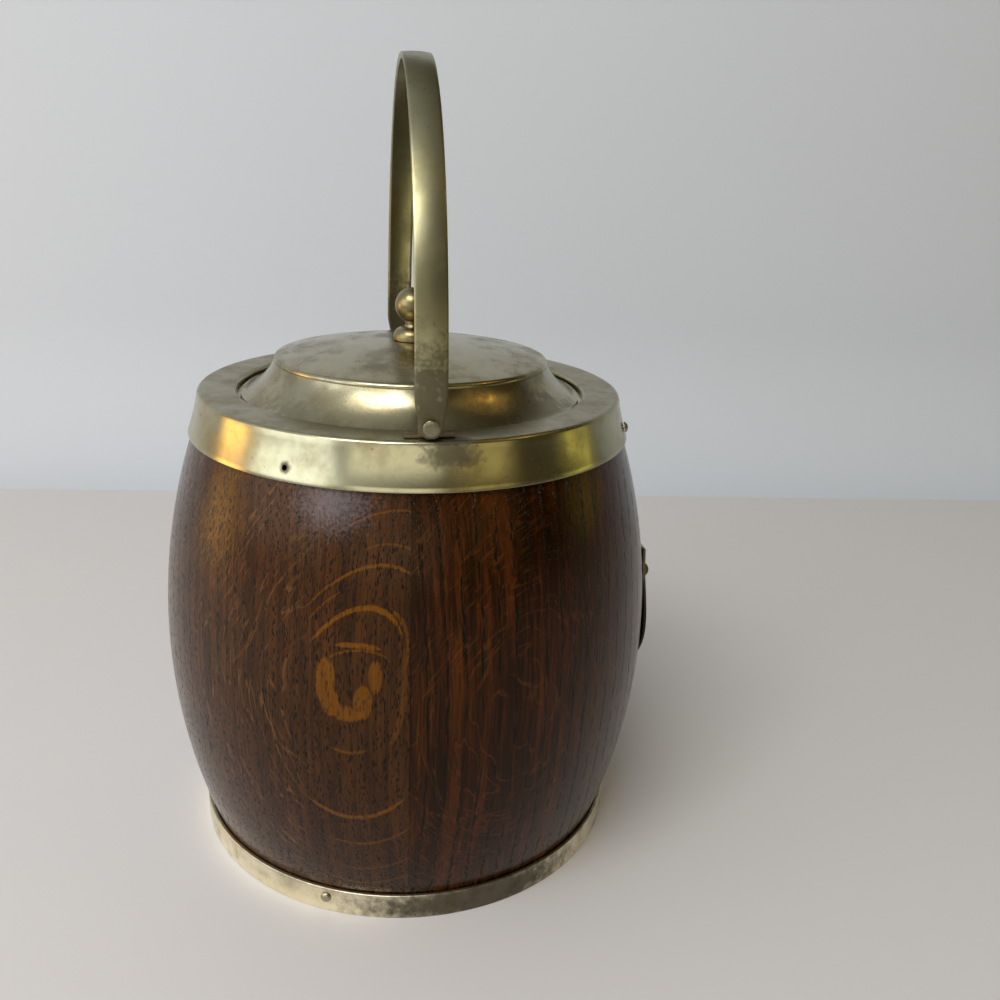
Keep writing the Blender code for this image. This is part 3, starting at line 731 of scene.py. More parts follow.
    def _pores(self, tree: Tree, grain: Socket) -> Socket:
        """Draws open pores, long tubes along the fibre that are wide in the early wood.

        Args:
            tree: of the material.
            grain: place in the board, as the fibre runs.

        Returns:
            Their share.
        """
        pitch = (1 / self.pore_pitch, 1 / self.pore_pitch, 1 / self.pore_length)
        packed = add_node(tree, "VectorMath", {0: grain, 1: pitch}, operation="MULTIPLY")
        cell = add_node(tree, "TexVoronoi", {"Vector": packed, "Scale": 1})
        feeds = {"Value": self._rings(tree, grain), "To Min": self.pore_least, "To Max": self.pore_most}
        width = add_node(tree, "MapRange", feeds)
        edge = add_node(tree, "Math", {0: width, 1: cell}, operation="SUBTRACT")
        feeds = {"Value": edge, "From Min": -0.03, "From Max": 0.07}
        return add_node(tree, "MapRange", feeds, **SMOOTH)

    def _glints(self, tree: Tree, mm: Socket, pores: Socket) -> Socket:
        """Paints glints: pale specks in the pores near the collar, for the light that they catch.

        Args:
            tree: of the material.
            mm: place in millimetres.
            pores: their share.

        Returns:
            Its share.
        """
        height = add_node(tree, "SeparateXYZ", {"Vector": mm}, out="Z")
        feeds = {"Value": height, "From Min": self.glint_start, "From Max": self.glint_start + self.glint_rise}
        share = add_node(tree, "MapRange", feeds, **SMOOTH)
        specks = add_node(tree, "TexNoise", {"Vector": mm, **self.SPECKS})
        feeds = {"Value": specks, "From Min": 0.62, "From Max": 0.68, "To Max": self.glints}
        for other in (add_node(tree, "MapRange", feeds), pores):
            share = add_node(tree, "Math", {0: share, 1: other}, operation="MULTIPLY")
        return share

    def _ray_sheets(self, tree: Tree, grain: Socket) -> Socket:
        """Lays out the sheets of the rays, which lean over with the tree's growth.

        Args:
            tree: of the material.
            grain: place in the board, as the fibre runs.

        Returns:
            Place across, through and along the rays.
        """
        across, depth, along = (
            add_node(tree, "SeparateXYZ", {"Vector": grain}, out=axis) for axis in ("X", "Y", "Z")
        )
        rise = add_node(tree, "Math", {0: along, 1: self.lean_start}, operation="SUBTRACT")
        rise = add_node(tree, "Math", {0: rise, 1: 0}, operation="MAXIMUM")
        lean = add_node(tree, "Math", {0: rise, 1: self.lean}, operation="MULTIPLY")
        skew = add_node(tree, "Math", {0: across, 1: -2, 2: lean}, operation="MULTIPLY_ADD")
        skew = add_node(tree, "Math", {0: skew, 1: lean}, operation="MULTIPLY")
        level = add_node(tree, "Math", {0: skew, 1: 1 / self.lean_round, 2: depth}, operation="MULTIPLY_ADD")
        return add_node(tree, "CombineXYZ", {"X": across, "Y": level, "Z": along})

    def _flecks(self, tree: Tree, board: Socket, sheet: Socket) -> Socket:
        """Draws the fine ray flecks all through the board.

        Args:
            tree: of the material.
            board: place in the board, in millimetres.
            sheet: the same, as the rays lie in it.

        Returns:
            Their share.
        """
        across, along = (swells * self.fleck_wave for swells in self.fleck_swells)
        feeds = {0: sheet, 1: (across, 1 / self.fleck_depth, along), 2: (self.seed,) * 3}
        layers = add_node(tree, "VectorMath", feeds, operation="MULTIPLY_ADD")
        layers = add_node(tree, "TexNoise", {"Vector": layers, **self.LAYERS})
        hair = add_node(tree, "Math", {0: layers, 1: 0.5}, operation="SUBTRACT")
        hair = add_node(tree, "Math", {0: hair}, operation="ABSOLUTE")
        feeds = {"Value": hair, "From Min": 0.026, "From Max": 0.006, "To Max": self.fleck}
        flecks = add_node(tree, "MapRange", feeds, **SMOOTH)
        across = add_node(tree, "SeparateXYZ", {"Vector": sheet}, out="X")
        feeds = {"Value": across, "From Min": self.fleck_edge, "From Max": self.fleck_edge - 10}
        flank = add_node(tree, "MapRange", feeds)
        level = add_node(tree, "SeparateXYZ", {"Vector": sheet}, out="Y")
        feeds = {"Value": level, "From Min": 0.5 * self.fleck_start, "From Max": self.fleck_start}
        for share in (self.breaks.share(tree, board), flank, add_node(tree, "MapRange", feeds)):
            flecks = add_node(tree, "Math", {0: flecks, 1: share}, operation="MULTIPLY")
        return flecks

    def _rays(self, tree: Tree, sheet: Socket, fibre: Socket) -> Socket | float:
        """Draws the named rays.

        Args:
            tree: of the material.
            sheet: place in the board, as the rays lie in it.
            fibre: that frays their edges.

        Returns:
            Their share.
        """
        feeds = {0: fibre, 1: (0, self.fraying, 0), 2: sheet}
        sheet = add_node(tree, "VectorMath", feeds, operation="MULTIPLY_ADD")
        rays = 0.0
        for ray in self.rays:
            rays = add_node(tree, "Math", {0: rays, 1: ray.share(tree, sheet)}, operation="MAXIMUM")
        return rays


@dataclass(frozen=True)
class PlateFinish:
    """Nickel brass with thin silver plate, spun and buffed, then worn and tarnished with age.

    To the eye it is a satin metal in broad soft patches, pale where plated and yellow where rubbed
    through, under a brown film, with dents 2 mm apart. Its pin-point pits are too fine to show, and
    are drawn up to 0.5 mm wide. It keeps a metal's default IOR.
    """

    FRAY: ClassVar[Feeds] = {"Scale": 0.35, "Detail": 5, "Roughness": 0.65}  # of the edges of the stains and of the painted shade
    DENTS: ClassVar[Feeds] = {"Scale": 0.45, "Detail": 2.5}  # 2.2 mm apart
    PITS: ClassVar[Feeds] = {"Scale": 0.6}  # a place for one every 1.7 mm

    name: str
    plate: str = "b0ad8f"
    rubbed: str = "a4986e"
    film_colour: str = "655844"
    tarnish_and_shade: str = "3a3026"
    roughness: float = 0.2
    wear: float = 0.6  # share rubbed through
    film: float = 0.35
    grime: float = 0.4  # of the film, gathered in specks
    pitting: float = 0.4
    # real stains, and patches of painted shade, both laid on in the tarnish colour
    stains_and_shade: tuple[Patch, ...] = ()
    worn_patches: Mottling = Mottling(0.045, 3, (0.36, 0.64))
    film_patches: Mottling = Mottling(0.09, 9, (0.42, 0.74))
    grime_specks: Mottling = Mottling(0.75, 6, (0.56, 0.76))
    relief: float = 0.03  # mm
    dirt_and_shade_dullness: float = 0.35
    film_dullness: float = 0.3

    def material(self) -> Material:
        """Builds the finish.

        Returns:
            The material.
        """
        material = new_material(self.name)
        tree = material.node_tree
        mm = in_millimetres(tree)
        worn = self.worn_patches.share(tree, mm, self.wear)
        haze = self.film_patches.share(tree, mm, self.film)
        grime = self.grime_specks.share(tree, mm, self.grime * self.film)
        haze = add_node(tree, "Math", {0: haze, 1: grime}, operation="ADD")
        dirt_and_shade = pits = self._pits(tree, mm)
        frayed = add_node(tree, "TexNoise", {"Vector": mm, **self.FRAY})
        # Real stains and painted shade darken the finish alike.
        for patch in self.stains_and_shade:
            feeds = {0: dirt_and_shade, 1: patch.share(tree, mm, frayed)}
            dirt_and_shade = add_node(tree, "Math", feeds, operation="MAXIMUM")
        coats = [(worn, self.rubbed), (haze, self.film_colour), (dirt_and_shade, self.tarnish_and_shade)]

        dull = self.roughness
        for share, most in ((dirt_and_shade, self.dirt_and_shade_dullness), (haze, self.film_dullness)):
            dull = add_node(tree, "Math", {0: share, 1: most, 2: dull}, operation="MULTIPLY_ADD")
        dents = add_node(tree, "TexNoise", {"Vector": mm, **self.DENTS})
        relief = add_node(tree, "Math", {0: pits, 1: -1, 2: dents}, operation="MULTIPLY_ADD")
        feeds = {"Strength": 0.35, "Distance": self.relief * MM, "Height": relief}
        bump = add_node(tree, "Bump", feeds)
        colour = laid_over(tree, self.plate, coats)
        return shaded(material, {"Base Color": colour, "Roughness": dull, "Normal": bump, "Metallic": 1})

    def _pits(self, tree: Tree, mm: Socket) -> Socket:
        """Draws pits, in some of the places where there could be one.

        Args:
            tree: of the material.
            mm: place in millimetres.

        Returns:
            Their share.
        """
        cell = {"Vector": mm, **self.PITS}
        away = add_node(tree, "TexVoronoi", cell)
        lot = add_node(tree, "TexVoronoi", cell, out="Color")
        lot = add_node(tree, "SeparateXYZ", {"Vector": lot}, out="X")
        size = add_node(tree, "MapRange", {"Value": lot, "From Min": 1 - self.pitting, "To Max": 0.16})
        inside = add_node(tree, "Math", {0: size, 1: away}, operation="SUBTRACT")
        feeds = {"Value": inside, "From Max": 0.08, "To Max": 0.75}
        return add_node(tree, "MapRange", feeds, **SMOOTH)


@dataclass(frozen=True)
class ChinaFinish:
    """White china, cast and glazed.

    To the eye it is even, bright and wet-looking, a little wavy, with faint crazing about 7 mm apart.
    """

    CRAZING: ClassVar[Feeds] = {"Scale": 0.14}
    WAVES: ClassVar[Feeds] = {"Scale": 0.1, "Detail": 1}  # 10 mm apart

    name: str = "glazed_white_china"
    body: str = "e6e0d2"
    crazing: str = "b9ab90"
    roughness: float = 0.12
    ior: float = 1.52  # of glaze
    relief: float = 0.2  # mm

    def material(self) -> Material:
        """Builds the finish.

        Returns:
            The material.
        """
        material = new_material(self.name)
        tree = material.node_tree
        mm = in_millimetres(tree)
        cracks = {"Vector": mm, **self.CRAZING}
        cracks = add_node(tree, "TexVoronoi", cracks, feature="DISTANCE_TO_EDGE")
        feeds = {"Value": cracks, "From Min": 0.02, "From Max": 0, "To Max": 0.35}
        line = add_node(tree, "MapRange", feeds)
        waves = add_node(tree, "TexNoise", {"Vector": mm, **self.WAVES})
        feeds = {"Strength": 0.2, "Distance": self.relief * MM, "Height": waves}
        bump = add_node(tree, "Bump", feeds)
        colour = laid_over(tree, self.body, [(line, self.crazing)])
        feeds = {"Base Color": colour, "Roughness": self.roughness, "Normal": bump, "IOR": self.ior}
        return shaded(material, feeds)


@dataclass
class Staves:
    """The coopered oak body, and the board let in at its foot."""

    form: BarrelForm
    finishes: Sequence[OakFinish]
    board_finish: OakFinish
    turn: float = 90  # degrees that each takes
    joint: float = 0.05
    head: float = 4  # thickness at the top
    belly: float = 12.1
    foot: float = 10
    board: float = 10  # height of the straight bore round the board
    rows: int = 64
    steps: int = 56

    def bore(self, inner: float, height: float, shares: Iterable[float]) -> list[Point]:
        """The bore between the belly and one end.

        Args:
            inner: its radius at the end.
            height: of the end.
            shares: of the way from the belly to the end, for each point.

        Returns:
            Its points.
        """
        belly, middle = self.form.belly_radius - self.belly, self.form.belly_height
        cosines = [(math.cos(math.pi / 2 * share), share) for share in shares]
        return [(inner + (belly - inner) * c, middle + (height - middle) * share) for c, share in cosines]

    def section(self) -> list[Point]:
        """Section of a stave.

        Returns:
            Points up its outside and down its bore.
        """
        form = self.form
        outside = [(form.radius(z), z) for z in evenly(form.hoop_height, form.stave_top, self.rows)]
        foot = form.radius(form.hoop_height)
        head_bore = form.radius(form.stave_top) - self.head
        upper = self.bore(head_bore, form.stave_top, evenly(1, 0, 7))
        lower = self.bore(foot - self.foot, self.board, evenly(0, 1, 7)[1:])
        return [(foot, 0), *outside, *upper, *lower, (foot - self.foot, 0)]

    def stave(self, start: float) -> Mesh:
        """One stave.

        Args:
            start: of its turn, in degrees from +X.

        Returns:
            Its mesh.
        """
        bm = outline_mesh(self.section(), closed=True)
        face = bm.faces.new(bm.verts)
        play = math.degrees(self.joint / self.form.belly_radius)
        begin = Matrix.Rotation(math.radians(start + play / 2), 3, "Z")
        bmesh.ops.rotate(bm, verts=bm.verts, matrix=begin)
        geom = [face, *face.edges, *face.verts]
        angle = math.radians(self.turn - play)
        bmesh.ops.spin(bm, geom=geom, axis=(0, 0, 1), angle=angle, steps=self.steps)
        bmesh.ops.recalc_face_normals(bm, faces=bm.faces)
        return bm

    def build(self, drill: tuple[Vector, Vector]) -> None:
        """Makes the staves and dresses the board.

        Args:
            drill: start and end of the hole whose pin has been lost.
        """
        for number, (start, finish) in enumerate(zip(self.form.seams, self.finishes), 1):
            bm = self.stave(start)
            if start < self.form.hole_turn < start + self.turn:
                bm = combined(bm, [("DIFFERENCE", rod(self.form.hole_radius, *drill))])
            material = finish.material(self.form)
            add_piece(f"oak_stave_{number}", f"stave_{number}", bm, material, slot=Slot.OAK)
        dress(["base_board"], self.board_finish.material(self.form))


@dataclass
class Pin:
    """A round-headed pin driven in at a point of a surface."""

    name: str
    head_radius: float = 1.7
    head_height: float = 1.1
    shank_radius: float = 0.55
    length: float = 5
    tip: float = 1.2
    fit: float = 0.1  # between the head and the surface

    def build(self, point: Vector, outward: Vector, material: Material) -> None:
        """Makes the pin.

        Args:
            point: where its axis meets the surface.
            outward: its axis, out of the surface.
            material: its finish.
        """
        dome = arc((0, 0), 1, 90, 0, 9)[1:]
        section = [
            (0, self.fit + self.head_height),
            *[(self.head_radius * x, self.fit + self.head_height * y) for x, y in dome],
            (self.shank_radius, self.fit),
            (self.shank_radius, self.tip - self.length),
            (0, -self.length),
        ]
        bm = turned(section, 32, closed=False)
        bmesh.ops.transform(bm, matrix=aimed(point, outward), verts=bm.verts)
        add_piece(self.name + "_head", self.name, bm, material, slot=Slot.PIN)


@dataclass
class Collar:
    """The spun collar, its pins and the hole whose pin has been lost."""

    form: BarrelForm
    finish: PlateFinish
    sheet: float = 0.9
    shoulder_radius: float = 66.64
    shoulder_round: float = 1.3
    skirt_radius: float = 69.9
    skirt_foot: float = 136.9
    skirt_sag: float = 0.3
    throat_radius: float = 54.64
    lip_round: float = 1.4
    ledge_height: float = 147.3
    sleeve_radius: float = 51.34
    sleeve_foot: float = 142
    edge: float = 0.18
    pin_drop: float = 9.5
    pin_turns: Point = (253.6, 21.6)
    hole_depth: float = 5.3
    hole_clear: float = 1.2  # how far the drill starts outside

    def skirt_place(self, angle: float) -> tuple[Vector, Vector]:
        """A point in the middle of the skirt, and the way out of the sheet there.

        Args:
            angle: degrees from +X.

        Returns:
            The point and the direction.
        """
        drop = self.form.rim_height - self.shoulder_round - self.skirt_foot
        slope = (self.skirt_radius - self.shoulder_radius) / drop
        radius = self.shoulder_radius + slope * (self.pin_drop - self.shoulder_round)
        point = round_the_barrel(angle, radius, self.form.rim_height - self.pin_drop)
        return point, round_the_barrel(angle, 1, slope).normalized()

    def drill(self) -> tuple[Vector, Vector]:
        """Start and end of the empty hole."""
        point, outward = self.skirt_place(self.form.hole_turn)
        return point - outward * self.hole_depth, point + outward * self.hole_clear

    def section(self) -> list[Point]:
        """Section of the sheet.

        Returns:
            Points of its sleeve, ledge, throat, rolled lip, flat rim, shoulder and skirt.
        """
        rim = self.form.rim_height
        ledge = [
            (self.sleeve_radius, self.sleeve_foot),
            (self.sleeve_radius, self.ledge_height),
            (self.throat_radius, self.ledge_height),
        ]
        lip = arc((self.throat_radius + self.lip_round, rim - self.lip_round), self.lip_round, 180, 90, 9)
        centre = (self.shoulder_radius - self.shoulder_round, rim - self.shoulder_round)
        shoulder = arc(centre, self.shoulder_round, 90, 15, 9)
        skirt = sagging(shoulder[-1], (self.skirt_radius, self.skirt_foot), self.skirt_sag, 9)
        return sheet_section([*ledge, *lip, *shoulder, *skirt[1:]], self.sheet)

    def build(self, pin_material: Material) -> None:
        """Makes the collar and its pins.

        Args:
            pin_material: their finish.
        """
        bm = turned(self.section(), WIDE_STEPS)
        soften(bm, self.edge)
        bm = combined(bm, [("DIFFERENCE", rod(self.form.hole_radius, *self.drill()))])
        add_piece("spun_collar", "collar", bm, self.finish.material())
        for number, angle in enumerate(self.pin_turns, 1):
            Pin(f"collar_pin_{number}").build(*self.skirt_place(angle), pin_material)


@dataclass
class Hoop:
    """The plated band round the foot, and its pins."""

    form: BarrelForm
    finish: PlateFinish
    inner: float = 70.4
    sheet: float = 1
    edge: float = 0.35
    pin_height: float = 5
    pin_turns: Triple = (155.2, 275.2, 35.2)

    def build(self, pin_material: Material) -> None:
        """Makes the hoop and its pins.

        Args:
            pin_material: their finish.
        """
        outer = self.inner + self.sheet
        top = self.form.hoop_height
        section = [
            (self.inner, top),
            *arc((outer - self.edge, top - self.edge), self.edge, 90, 0, 5),
            *arc((outer - self.edge, self.edge), self.edge, 0, -90, 5),
            (self.inner, 0),
        ]
        add_piece("foot_hoop", "base_hoop", turned(section, WIDE_STEPS), self.finish.material())
        for number, angle in enumerate(self.pin_turns, 1):
            point = round_the_barrel(angle, outer, self.pin_height)
            Pin(f"hoop_pin_{number}").build(point, round_the_barrel(angle, 1, 0), pin_material)


@dataclass
class Liner:
    """The white china pot inside."""

    finish: ChinaFinish
    inner: float = 52.94
    outer: float = 56.74
    bottom: float = 10.3
    floor: float = 5
    top: float = 146.1
    corner: float = 9

    def build(self) -> None:
        """Makes the liner."""
        floor = self.bottom + self.floor
        lip = (self.outer - self.inner) / 2
        section = [
            (0, floor),
            *arc((self.inner - self.corner, floor + self.corner), self.corner, -90, 0, 12),
            *arc((self.inner + lip, self.top - lip), lip, 180, 0, 16),
            *arc((self.outer - self.corner, self.bottom + self.corner), self.corner, 0, -90, 12),
            (0, self.bottom),
        ]
        bm = turned(section, 128, closed=False)
        add_piece("glazed_liner", "china_liner", bm, self.finish.material(), slot=Slot.CHINA)


@dataclass
class Shield:
    """The shield plaque on the front, straight across and bent to lie along the oak, and its pins."""

    form: BarrelForm
    finish: PlateFinish
    sheet: float = 1
    clearance: float = 0.3
    top: float = 95
    waist: float = 88
    swell: float = 66
    tip: float = 44.5
    top_half: float = 12.4
    waist_half: float = 11.5
    swell_half: float = 15.6
    tip_half: float = 1
    edge: float = 0.25
    pin_places: tuple[Point, ...] = ((-8.6, 86), (8.6, 86), (0, 51.5))
    pin_radius: float = 2.3
    pin_height: float = 1.7

    def half_width(self, height: float) -> float:
        """Half the shield's width.

        Args:
            height: at which it is wanted.

        Returns:
            The half width there.
        """
        if height > self.waist:
            share = (height - self.waist) / (self.top - self.waist)
            return self.waist_half + (self.top_half - self.waist_half) * share**2
        if height > self.swell:
            share = (height - self.swell) / (self.waist - self.swell)
            ease = (1 + math.cos(math.pi * share)) / 2
            return self.waist_half + (self.swell_half - self.waist_half) * ease
        share = (self.swell - height) / (self.swell - self.tip)
        return self.tip_half + (self.swell_half - self.tip_half) * math.cos(math.pi / 2 * share)

    def place(self, along: float, across: float) -> Vector:
        """A point in the middle of the sheet.

        Args:
            along: share of the way down the shield.
            across: share of the half width.

        Returns:
            The point.
        """
        height = self.top + (self.tip - self.top) * along
        depth = self.form.radius(height) + self.clearance + self.sheet / 2
        return Vector((self.half_width(height) * across, -depth, height))

    def build(self, pin_material: Material) -> None:
        """Makes the shield and its pins.

        Args:
            pin_material: their finish.
        """
        bm = strip(64, 13, self.place, self.sheet)
        soften(bm, self.edge)
        add_piece("shield_plaque", "shield", bm, self.finish.material())
        for number, (side, height) in enumerate(self.pin_places, 1):
            depth = self.form.radius(height) + self.clearance + self.sheet
            slope = self.form.slope(height)
            outward = Vector((0, -math.cos(slope), math.sin(slope)))
            pin = Pin(f"shield_pin_{number}", self.pin_radius, self.pin_height)
            pin.build(Vector((side, -depth, height)), outward, pin_material)


@dataclass
class Handle:
    """The bowed strap handle, its two lugs and their rivets. The left side is -1 and the right one 1."""

    strap_finish: PlateFinish
    lug_finish: PlateFinish
    width: float = 8.6
    sheet: float = 1.8
    crown: float = 0.35
    edge: float = 0.4
    arch_height: float = 93.4
    half_span: float = 65.09
    eye_radius: float = 3.2
    eye_start: float = -75
    taper: float = 8
    pivot: float = 153.5
    hole: float = 1.35
    lug_face: float = 63.54
    lug_sheet: float = 1.6
    lug_radius: float = 3.3
    lug_edge: float = 0.25
    foot_size: Triple = (4.3, 13.6, 0.9)
    foot_height: float = 150.1
    foot_edge: float = 0.3
    rivet_radius: float = 1.1
    head_radius: float = 2.35
    head_height: float = 1.2
    head_edge: float = 0.35
    head_crown: float = 0.15
    head_gap: float = 0.15
    peen_radius: float = 1.8
    peen_height: float = 0.7
    peen_gap: float = 0.1

    def strap_rows(self) -> list[Triple]:
        """Lays out the strap from one round end to the other.

        Returns:
            For each row its x, its rise over the pivot and half its width.
        """
        eye = arc((0, 0), self.eye_radius, self.eye_start, 0, 12)[:-1]
        side = [(self.half_span, y, x) for x, y in eye]
        taper_turn = math.asin(self.taper / self.arch_height)
        for angle in [*evenly(0, taper_turn, 10)[:-1], *evenly(taper_turn, math.pi / 2, 56)]:
            rise = self.arch_height * math.sin(angle)
            share = min(rise / self.taper, 1)
            half = self.eye_radius + (self.width / 2 - self.eye_radius) * share**2 * (3 - 2 * share)
            side.append((self.half_span * math.cos(angle), rise, half))
        return side + [(-x, rise, half) for x, rise, half in side[-2::-1]]

    def strap_place(self, rows: Sequence[Triple], along: float, across: float) -> Vector:
        """A point in the middle of the sheet.

        Args:
            rows: the strap's.
            along: share of the way along the strap.
            across: share of its half width.

        Returns:
            The point.
        """
        x, rise, half = rows[round(along * (len(rows) - 1))]
        angle = math.atan2(max(rise, 0) / self.arch_height, x / self.half_span)
        out = Vector((math.cos(angle) / self.half_span, 0, math.sin(angle) / self.arch_height))
        side = half * across
        drop = self.crown * (side / (self.width / 2)) ** 2
        return Vector((x, side, self.pivot + rise)) - out.normalized() * drop

    def pivot_drill(self, side: int, inner: float, outer: float) -> tuple[str, Mesh]:
        """Drills the rivet's hole on one side, between two distances from the middle."""
        ends = [Vector((side * reach, 0, self.pivot)) for reach in (inner, outer)]
        return "DIFFERENCE", rod(self.hole, *ends)

    def strap(self) -> Mesh:
        """The strap with a hole in each end.

        Returns:
            Its mesh.
        """
        rows = self.strap_rows()
        bm = strip(len(rows), 11, partial(self.strap_place, rows), self.sheet)
        soften(bm, self.edge, segments=3)
        inner, outer = self.half_span - self.sheet, self.half_span + self.sheet
        return combined(bm, [self.pivot_drill(side, inner, outer) for side in (-1, 1)])

    def lug(self, side: int) -> Mesh:
        """A lug: an upright ear with a round top, on a foot that is soldered to the rim.

        Args:
            side: that it is on.

        Returns:
            Its mesh.
        """
        ear = bmesh.new()
        outline = arc((0, self.pivot), self.lug_radius, 0, 180, 25)
        outline += [(-self.lug_radius, self.foot_height), (self.lug_radius, self.foot_height)]
        back = side * (self.lug_face - self.lug_sheet)
        face = ear.faces.new([ear.verts.new((back, y, z)) for y, z in outline])
        grown = bmesh.ops.extrude_face_region(ear, geom=[face])
        moved = [v for v in grown["geom"] if isinstance(v, bmesh.types.BMVert)]
        bmesh.ops.translate(ear, vec=(side * self.lug_sheet, 0, 0), verts=moved)
        bmesh.ops.recalc_face_normals(ear, faces=ear.faces)
        soften(ear, self.lug_edge)

        foot = bmesh.new()
        bmesh.ops.create_cube(foot, size=1)
        bmesh.ops.scale(foot, vec=self.foot_size, verts=foot.verts)
        depth, _, height = self.foot_size
        centre = (side * (self.lug_face - depth / 2), 0, self.foot_height + height / 2)
        bmesh.ops.translate(foot, vec=centre, verts=foot.verts)
        soften(foot, self.foot_edge)
        inner, outer = self.lug_face - 2 * self.lug_sheet, self.lug_face + self.lug_sheet
        return combined(ear, [("UNION", foot), self.pivot_drill(side, inner, outer)])

    def rivet(self, side: int) -> Mesh:
        """A rivet: its head outside the strap, and a peened end inside the lug.

        Args:
            side: that it is on.

        Returns:
            Its mesh.
        """
        foot = self.half_span + self.sheet / 2 + self.head_gap
        face = foot + self.head_height
        peen = self.lug_face - self.lug_sheet - self.peen_gap
        rim = (self.head_radius - self.head_edge, face - self.head_edge)
        section = [
            (0, face + self.head_crown),
            (self.head_radius * 0.6, face + self.head_crown * 0.4),
            *arc(rim, self.head_edge, 75, 0, 5),
            (self.head_radius, foot),
            (self.rivet_radius, foot),
            (self.rivet_radius, peen),
            (self.peen_radius, peen),
            (self.peen_radius * 0.8, peen - self.peen_height * 0.7),
            (0, peen - self.peen_height),
        ]
        bm = turned(section, 40, closed=False)
        bmesh.ops.rotate(bm, verts=bm.verts, matrix=Matrix.Rotation(side * math.pi / 2, 3, "Y"))
        bmesh.ops.translate(bm, vec=(0, 0, self.pivot), verts=bm.verts)
        return bm

    def build(self, rivet_material: Material) -> None:
        """Makes the strap, the lugs and the rivets.

        Args:
            rivet_material: finish of the rivets.
        """
        strap_material = self.strap_finish.material()
        lug_material = self.lug_finish.material()
        add_piece("strap_handle", "handle", self.strap(), strap_material, body=Body.HANDLE)
        for name, side in (("left", -1), ("right", 1)):
            add_piece(f"soldered_lug_{name}", f"lug_{name}", self.lug(side), lug_material)
            rivet = self.rivet(side)
            add_piece(f"pivot_rivet_{name}", f"rivet_{name}", rivet, rivet_material, slot=Slot.PIN)


@dataclass
class Lid:
    """The spun lid with its bezel and ball knob, and the bolt that holds the knob."""

    finish: PlateFinish
    knob_finish: PlateFinish
    bolt_finish: PlateFinish
    sheet: float = 0.8
    seat: float = 147.6
    radius: float = 53.44
    lip: float = 1.1
    drum_radius: float = 43.14
    drum_height: float = 158.4
    drum_round: float = 1.3
    dome_rise: float = 4.6
    cove_sag: float = 1.15
    bolt_hole: float = 1.75
    bolt_depth: float = 5.8
    bezel_radius: float = 50.84
    bezel_foot: float = 139.6
    bezel_rise: float = 1
    bezel_slope: float = 0.9
    rose_foot: float = 164.4
    rose_height: float = 3.9
    rose_radius: float = 6
    rose_top_radius: float = 3.1
    rose_edge: float = 0.6
    neck_radius: float = 2.3
    neck_length: float = 1.8
    ball_radius: float = 5.45
    ball_height: float = 175.14

    def shown(self) -> list[Point]:
        """The lid's upper side.

        Returns:
            Points from its bolt hole over the dome and down the cove to its edge.
        """
        rim = self.drum_radius - self.drum_round
        top = self.drum_height + self.drum_round
        radii = [self.bolt_hole, *evenly(self.rose_radius, rim, 22)[:-1]]
        dome = [(r, top + self.dome_rise * (1 - (r / rim) ** 2)) for r in radii]
        edge = arc((rim, self.drum_height), self.drum_round, 75, -15, 9)
        upper = self.seat + self.sheet
        cove = sagging(edge[-1], (self.radius - self.lip, upper), self.cove_sag, 18)
        return [*dome, *edge, *cove[1:], (self.radius, upper)]

    def bezel(self) -> list[Point]:
        """Section of the ring under the lid, which runs up to the cove's underside.

        Returns:
            Its points.
        """
        inner = self.bezel_radius - self.sheet
        top = self.seat + self.bezel_rise
        outside = [(self.bezel_radius, top - self.bezel_slope), (self.bezel_radius, self.bezel_foot)]
        return [(inner, top), *outside, (inner, self.bezel_foot)]

    def knob(self) -> list[Point]:
        """Section of the ball knob and its neck.

        Returns:
            Its points.
        """
        foot = self.rose_foot + self.rose_height
        neck_angle = math.degrees(math.asin(self.neck_radius / self.ball_radius))
        ball = arc((0, self.ball_height), self.ball_radius, 90, neck_angle - 90, 28)
        return [
            (0, ball[0][1]),
            *ball[1:],
            (self.neck_radius * 0.93, foot + self.neck_length * 0.5),
            (self.neck_radius * 1.08, foot + 0.1),
            (self.bolt_hole, foot),
            (self.bolt_hole, foot + self.bolt_depth),
            (0, foot + self.bolt_depth),
        ]

    def rose(self) -> list[Point]:
        """Section of the turned foot that the ball stands on.

        Returns:
            Its points.
        """
        foot, top = self.rose_foot, self.rose_foot + self.rose_height
        rise = self.rose_height - self.rose_edge
        span = self.rose_radius - self.rose_top_radius
        quarter = arc((0, 0), 1, 90, 0, 12)
        side = [(self.rose_top_radius + span * x, foot + self.rose_edge + rise * y) for x, y in quarter]
        return [(self.bolt_hole, top), *side, (self.rose_radius, foot), (self.bolt_hole, foot)]

    def build(self) -> None:
        """Makes the lid, the bezel and the knob, and dresses the bolt."""
        material = self.finish.material()
        knob_material = self.knob_finish.material()
        lid = turned(sheet_section(self.shown(), self.sheet), WIDE_STEPS)
        add_piece("spun_lid", "lid", lid, material, body=Body.LID)
        bezel = turned(self.bezel(), WIDE_STEPS)
        add_piece("lid_bezel_ring", "lid_bezel", bezel, material, body=Body.LID)
        knob = turned(self.knob(), 64, closed=False)
        add_piece("ball_knob", "knob", knob, knob_material, body=Body.LID)
        add_piece("knob_rose", "knob_base", turned(self.rose(), 64), knob_material, body=Body.LID)
        dress(["knob_stud", "knob_washer", "knob_nut"], self.bolt_finish.material())


@dataclass(frozen=True)
class Lamp:
    """A soft rectangular lamp, placed by where it stands as seen from the barrel."""

    name: str
    azimuth: float
    elevation: float
    distance: float
    size: Point
    level: float  # brightness of its face, where 1 is white
    colour: str


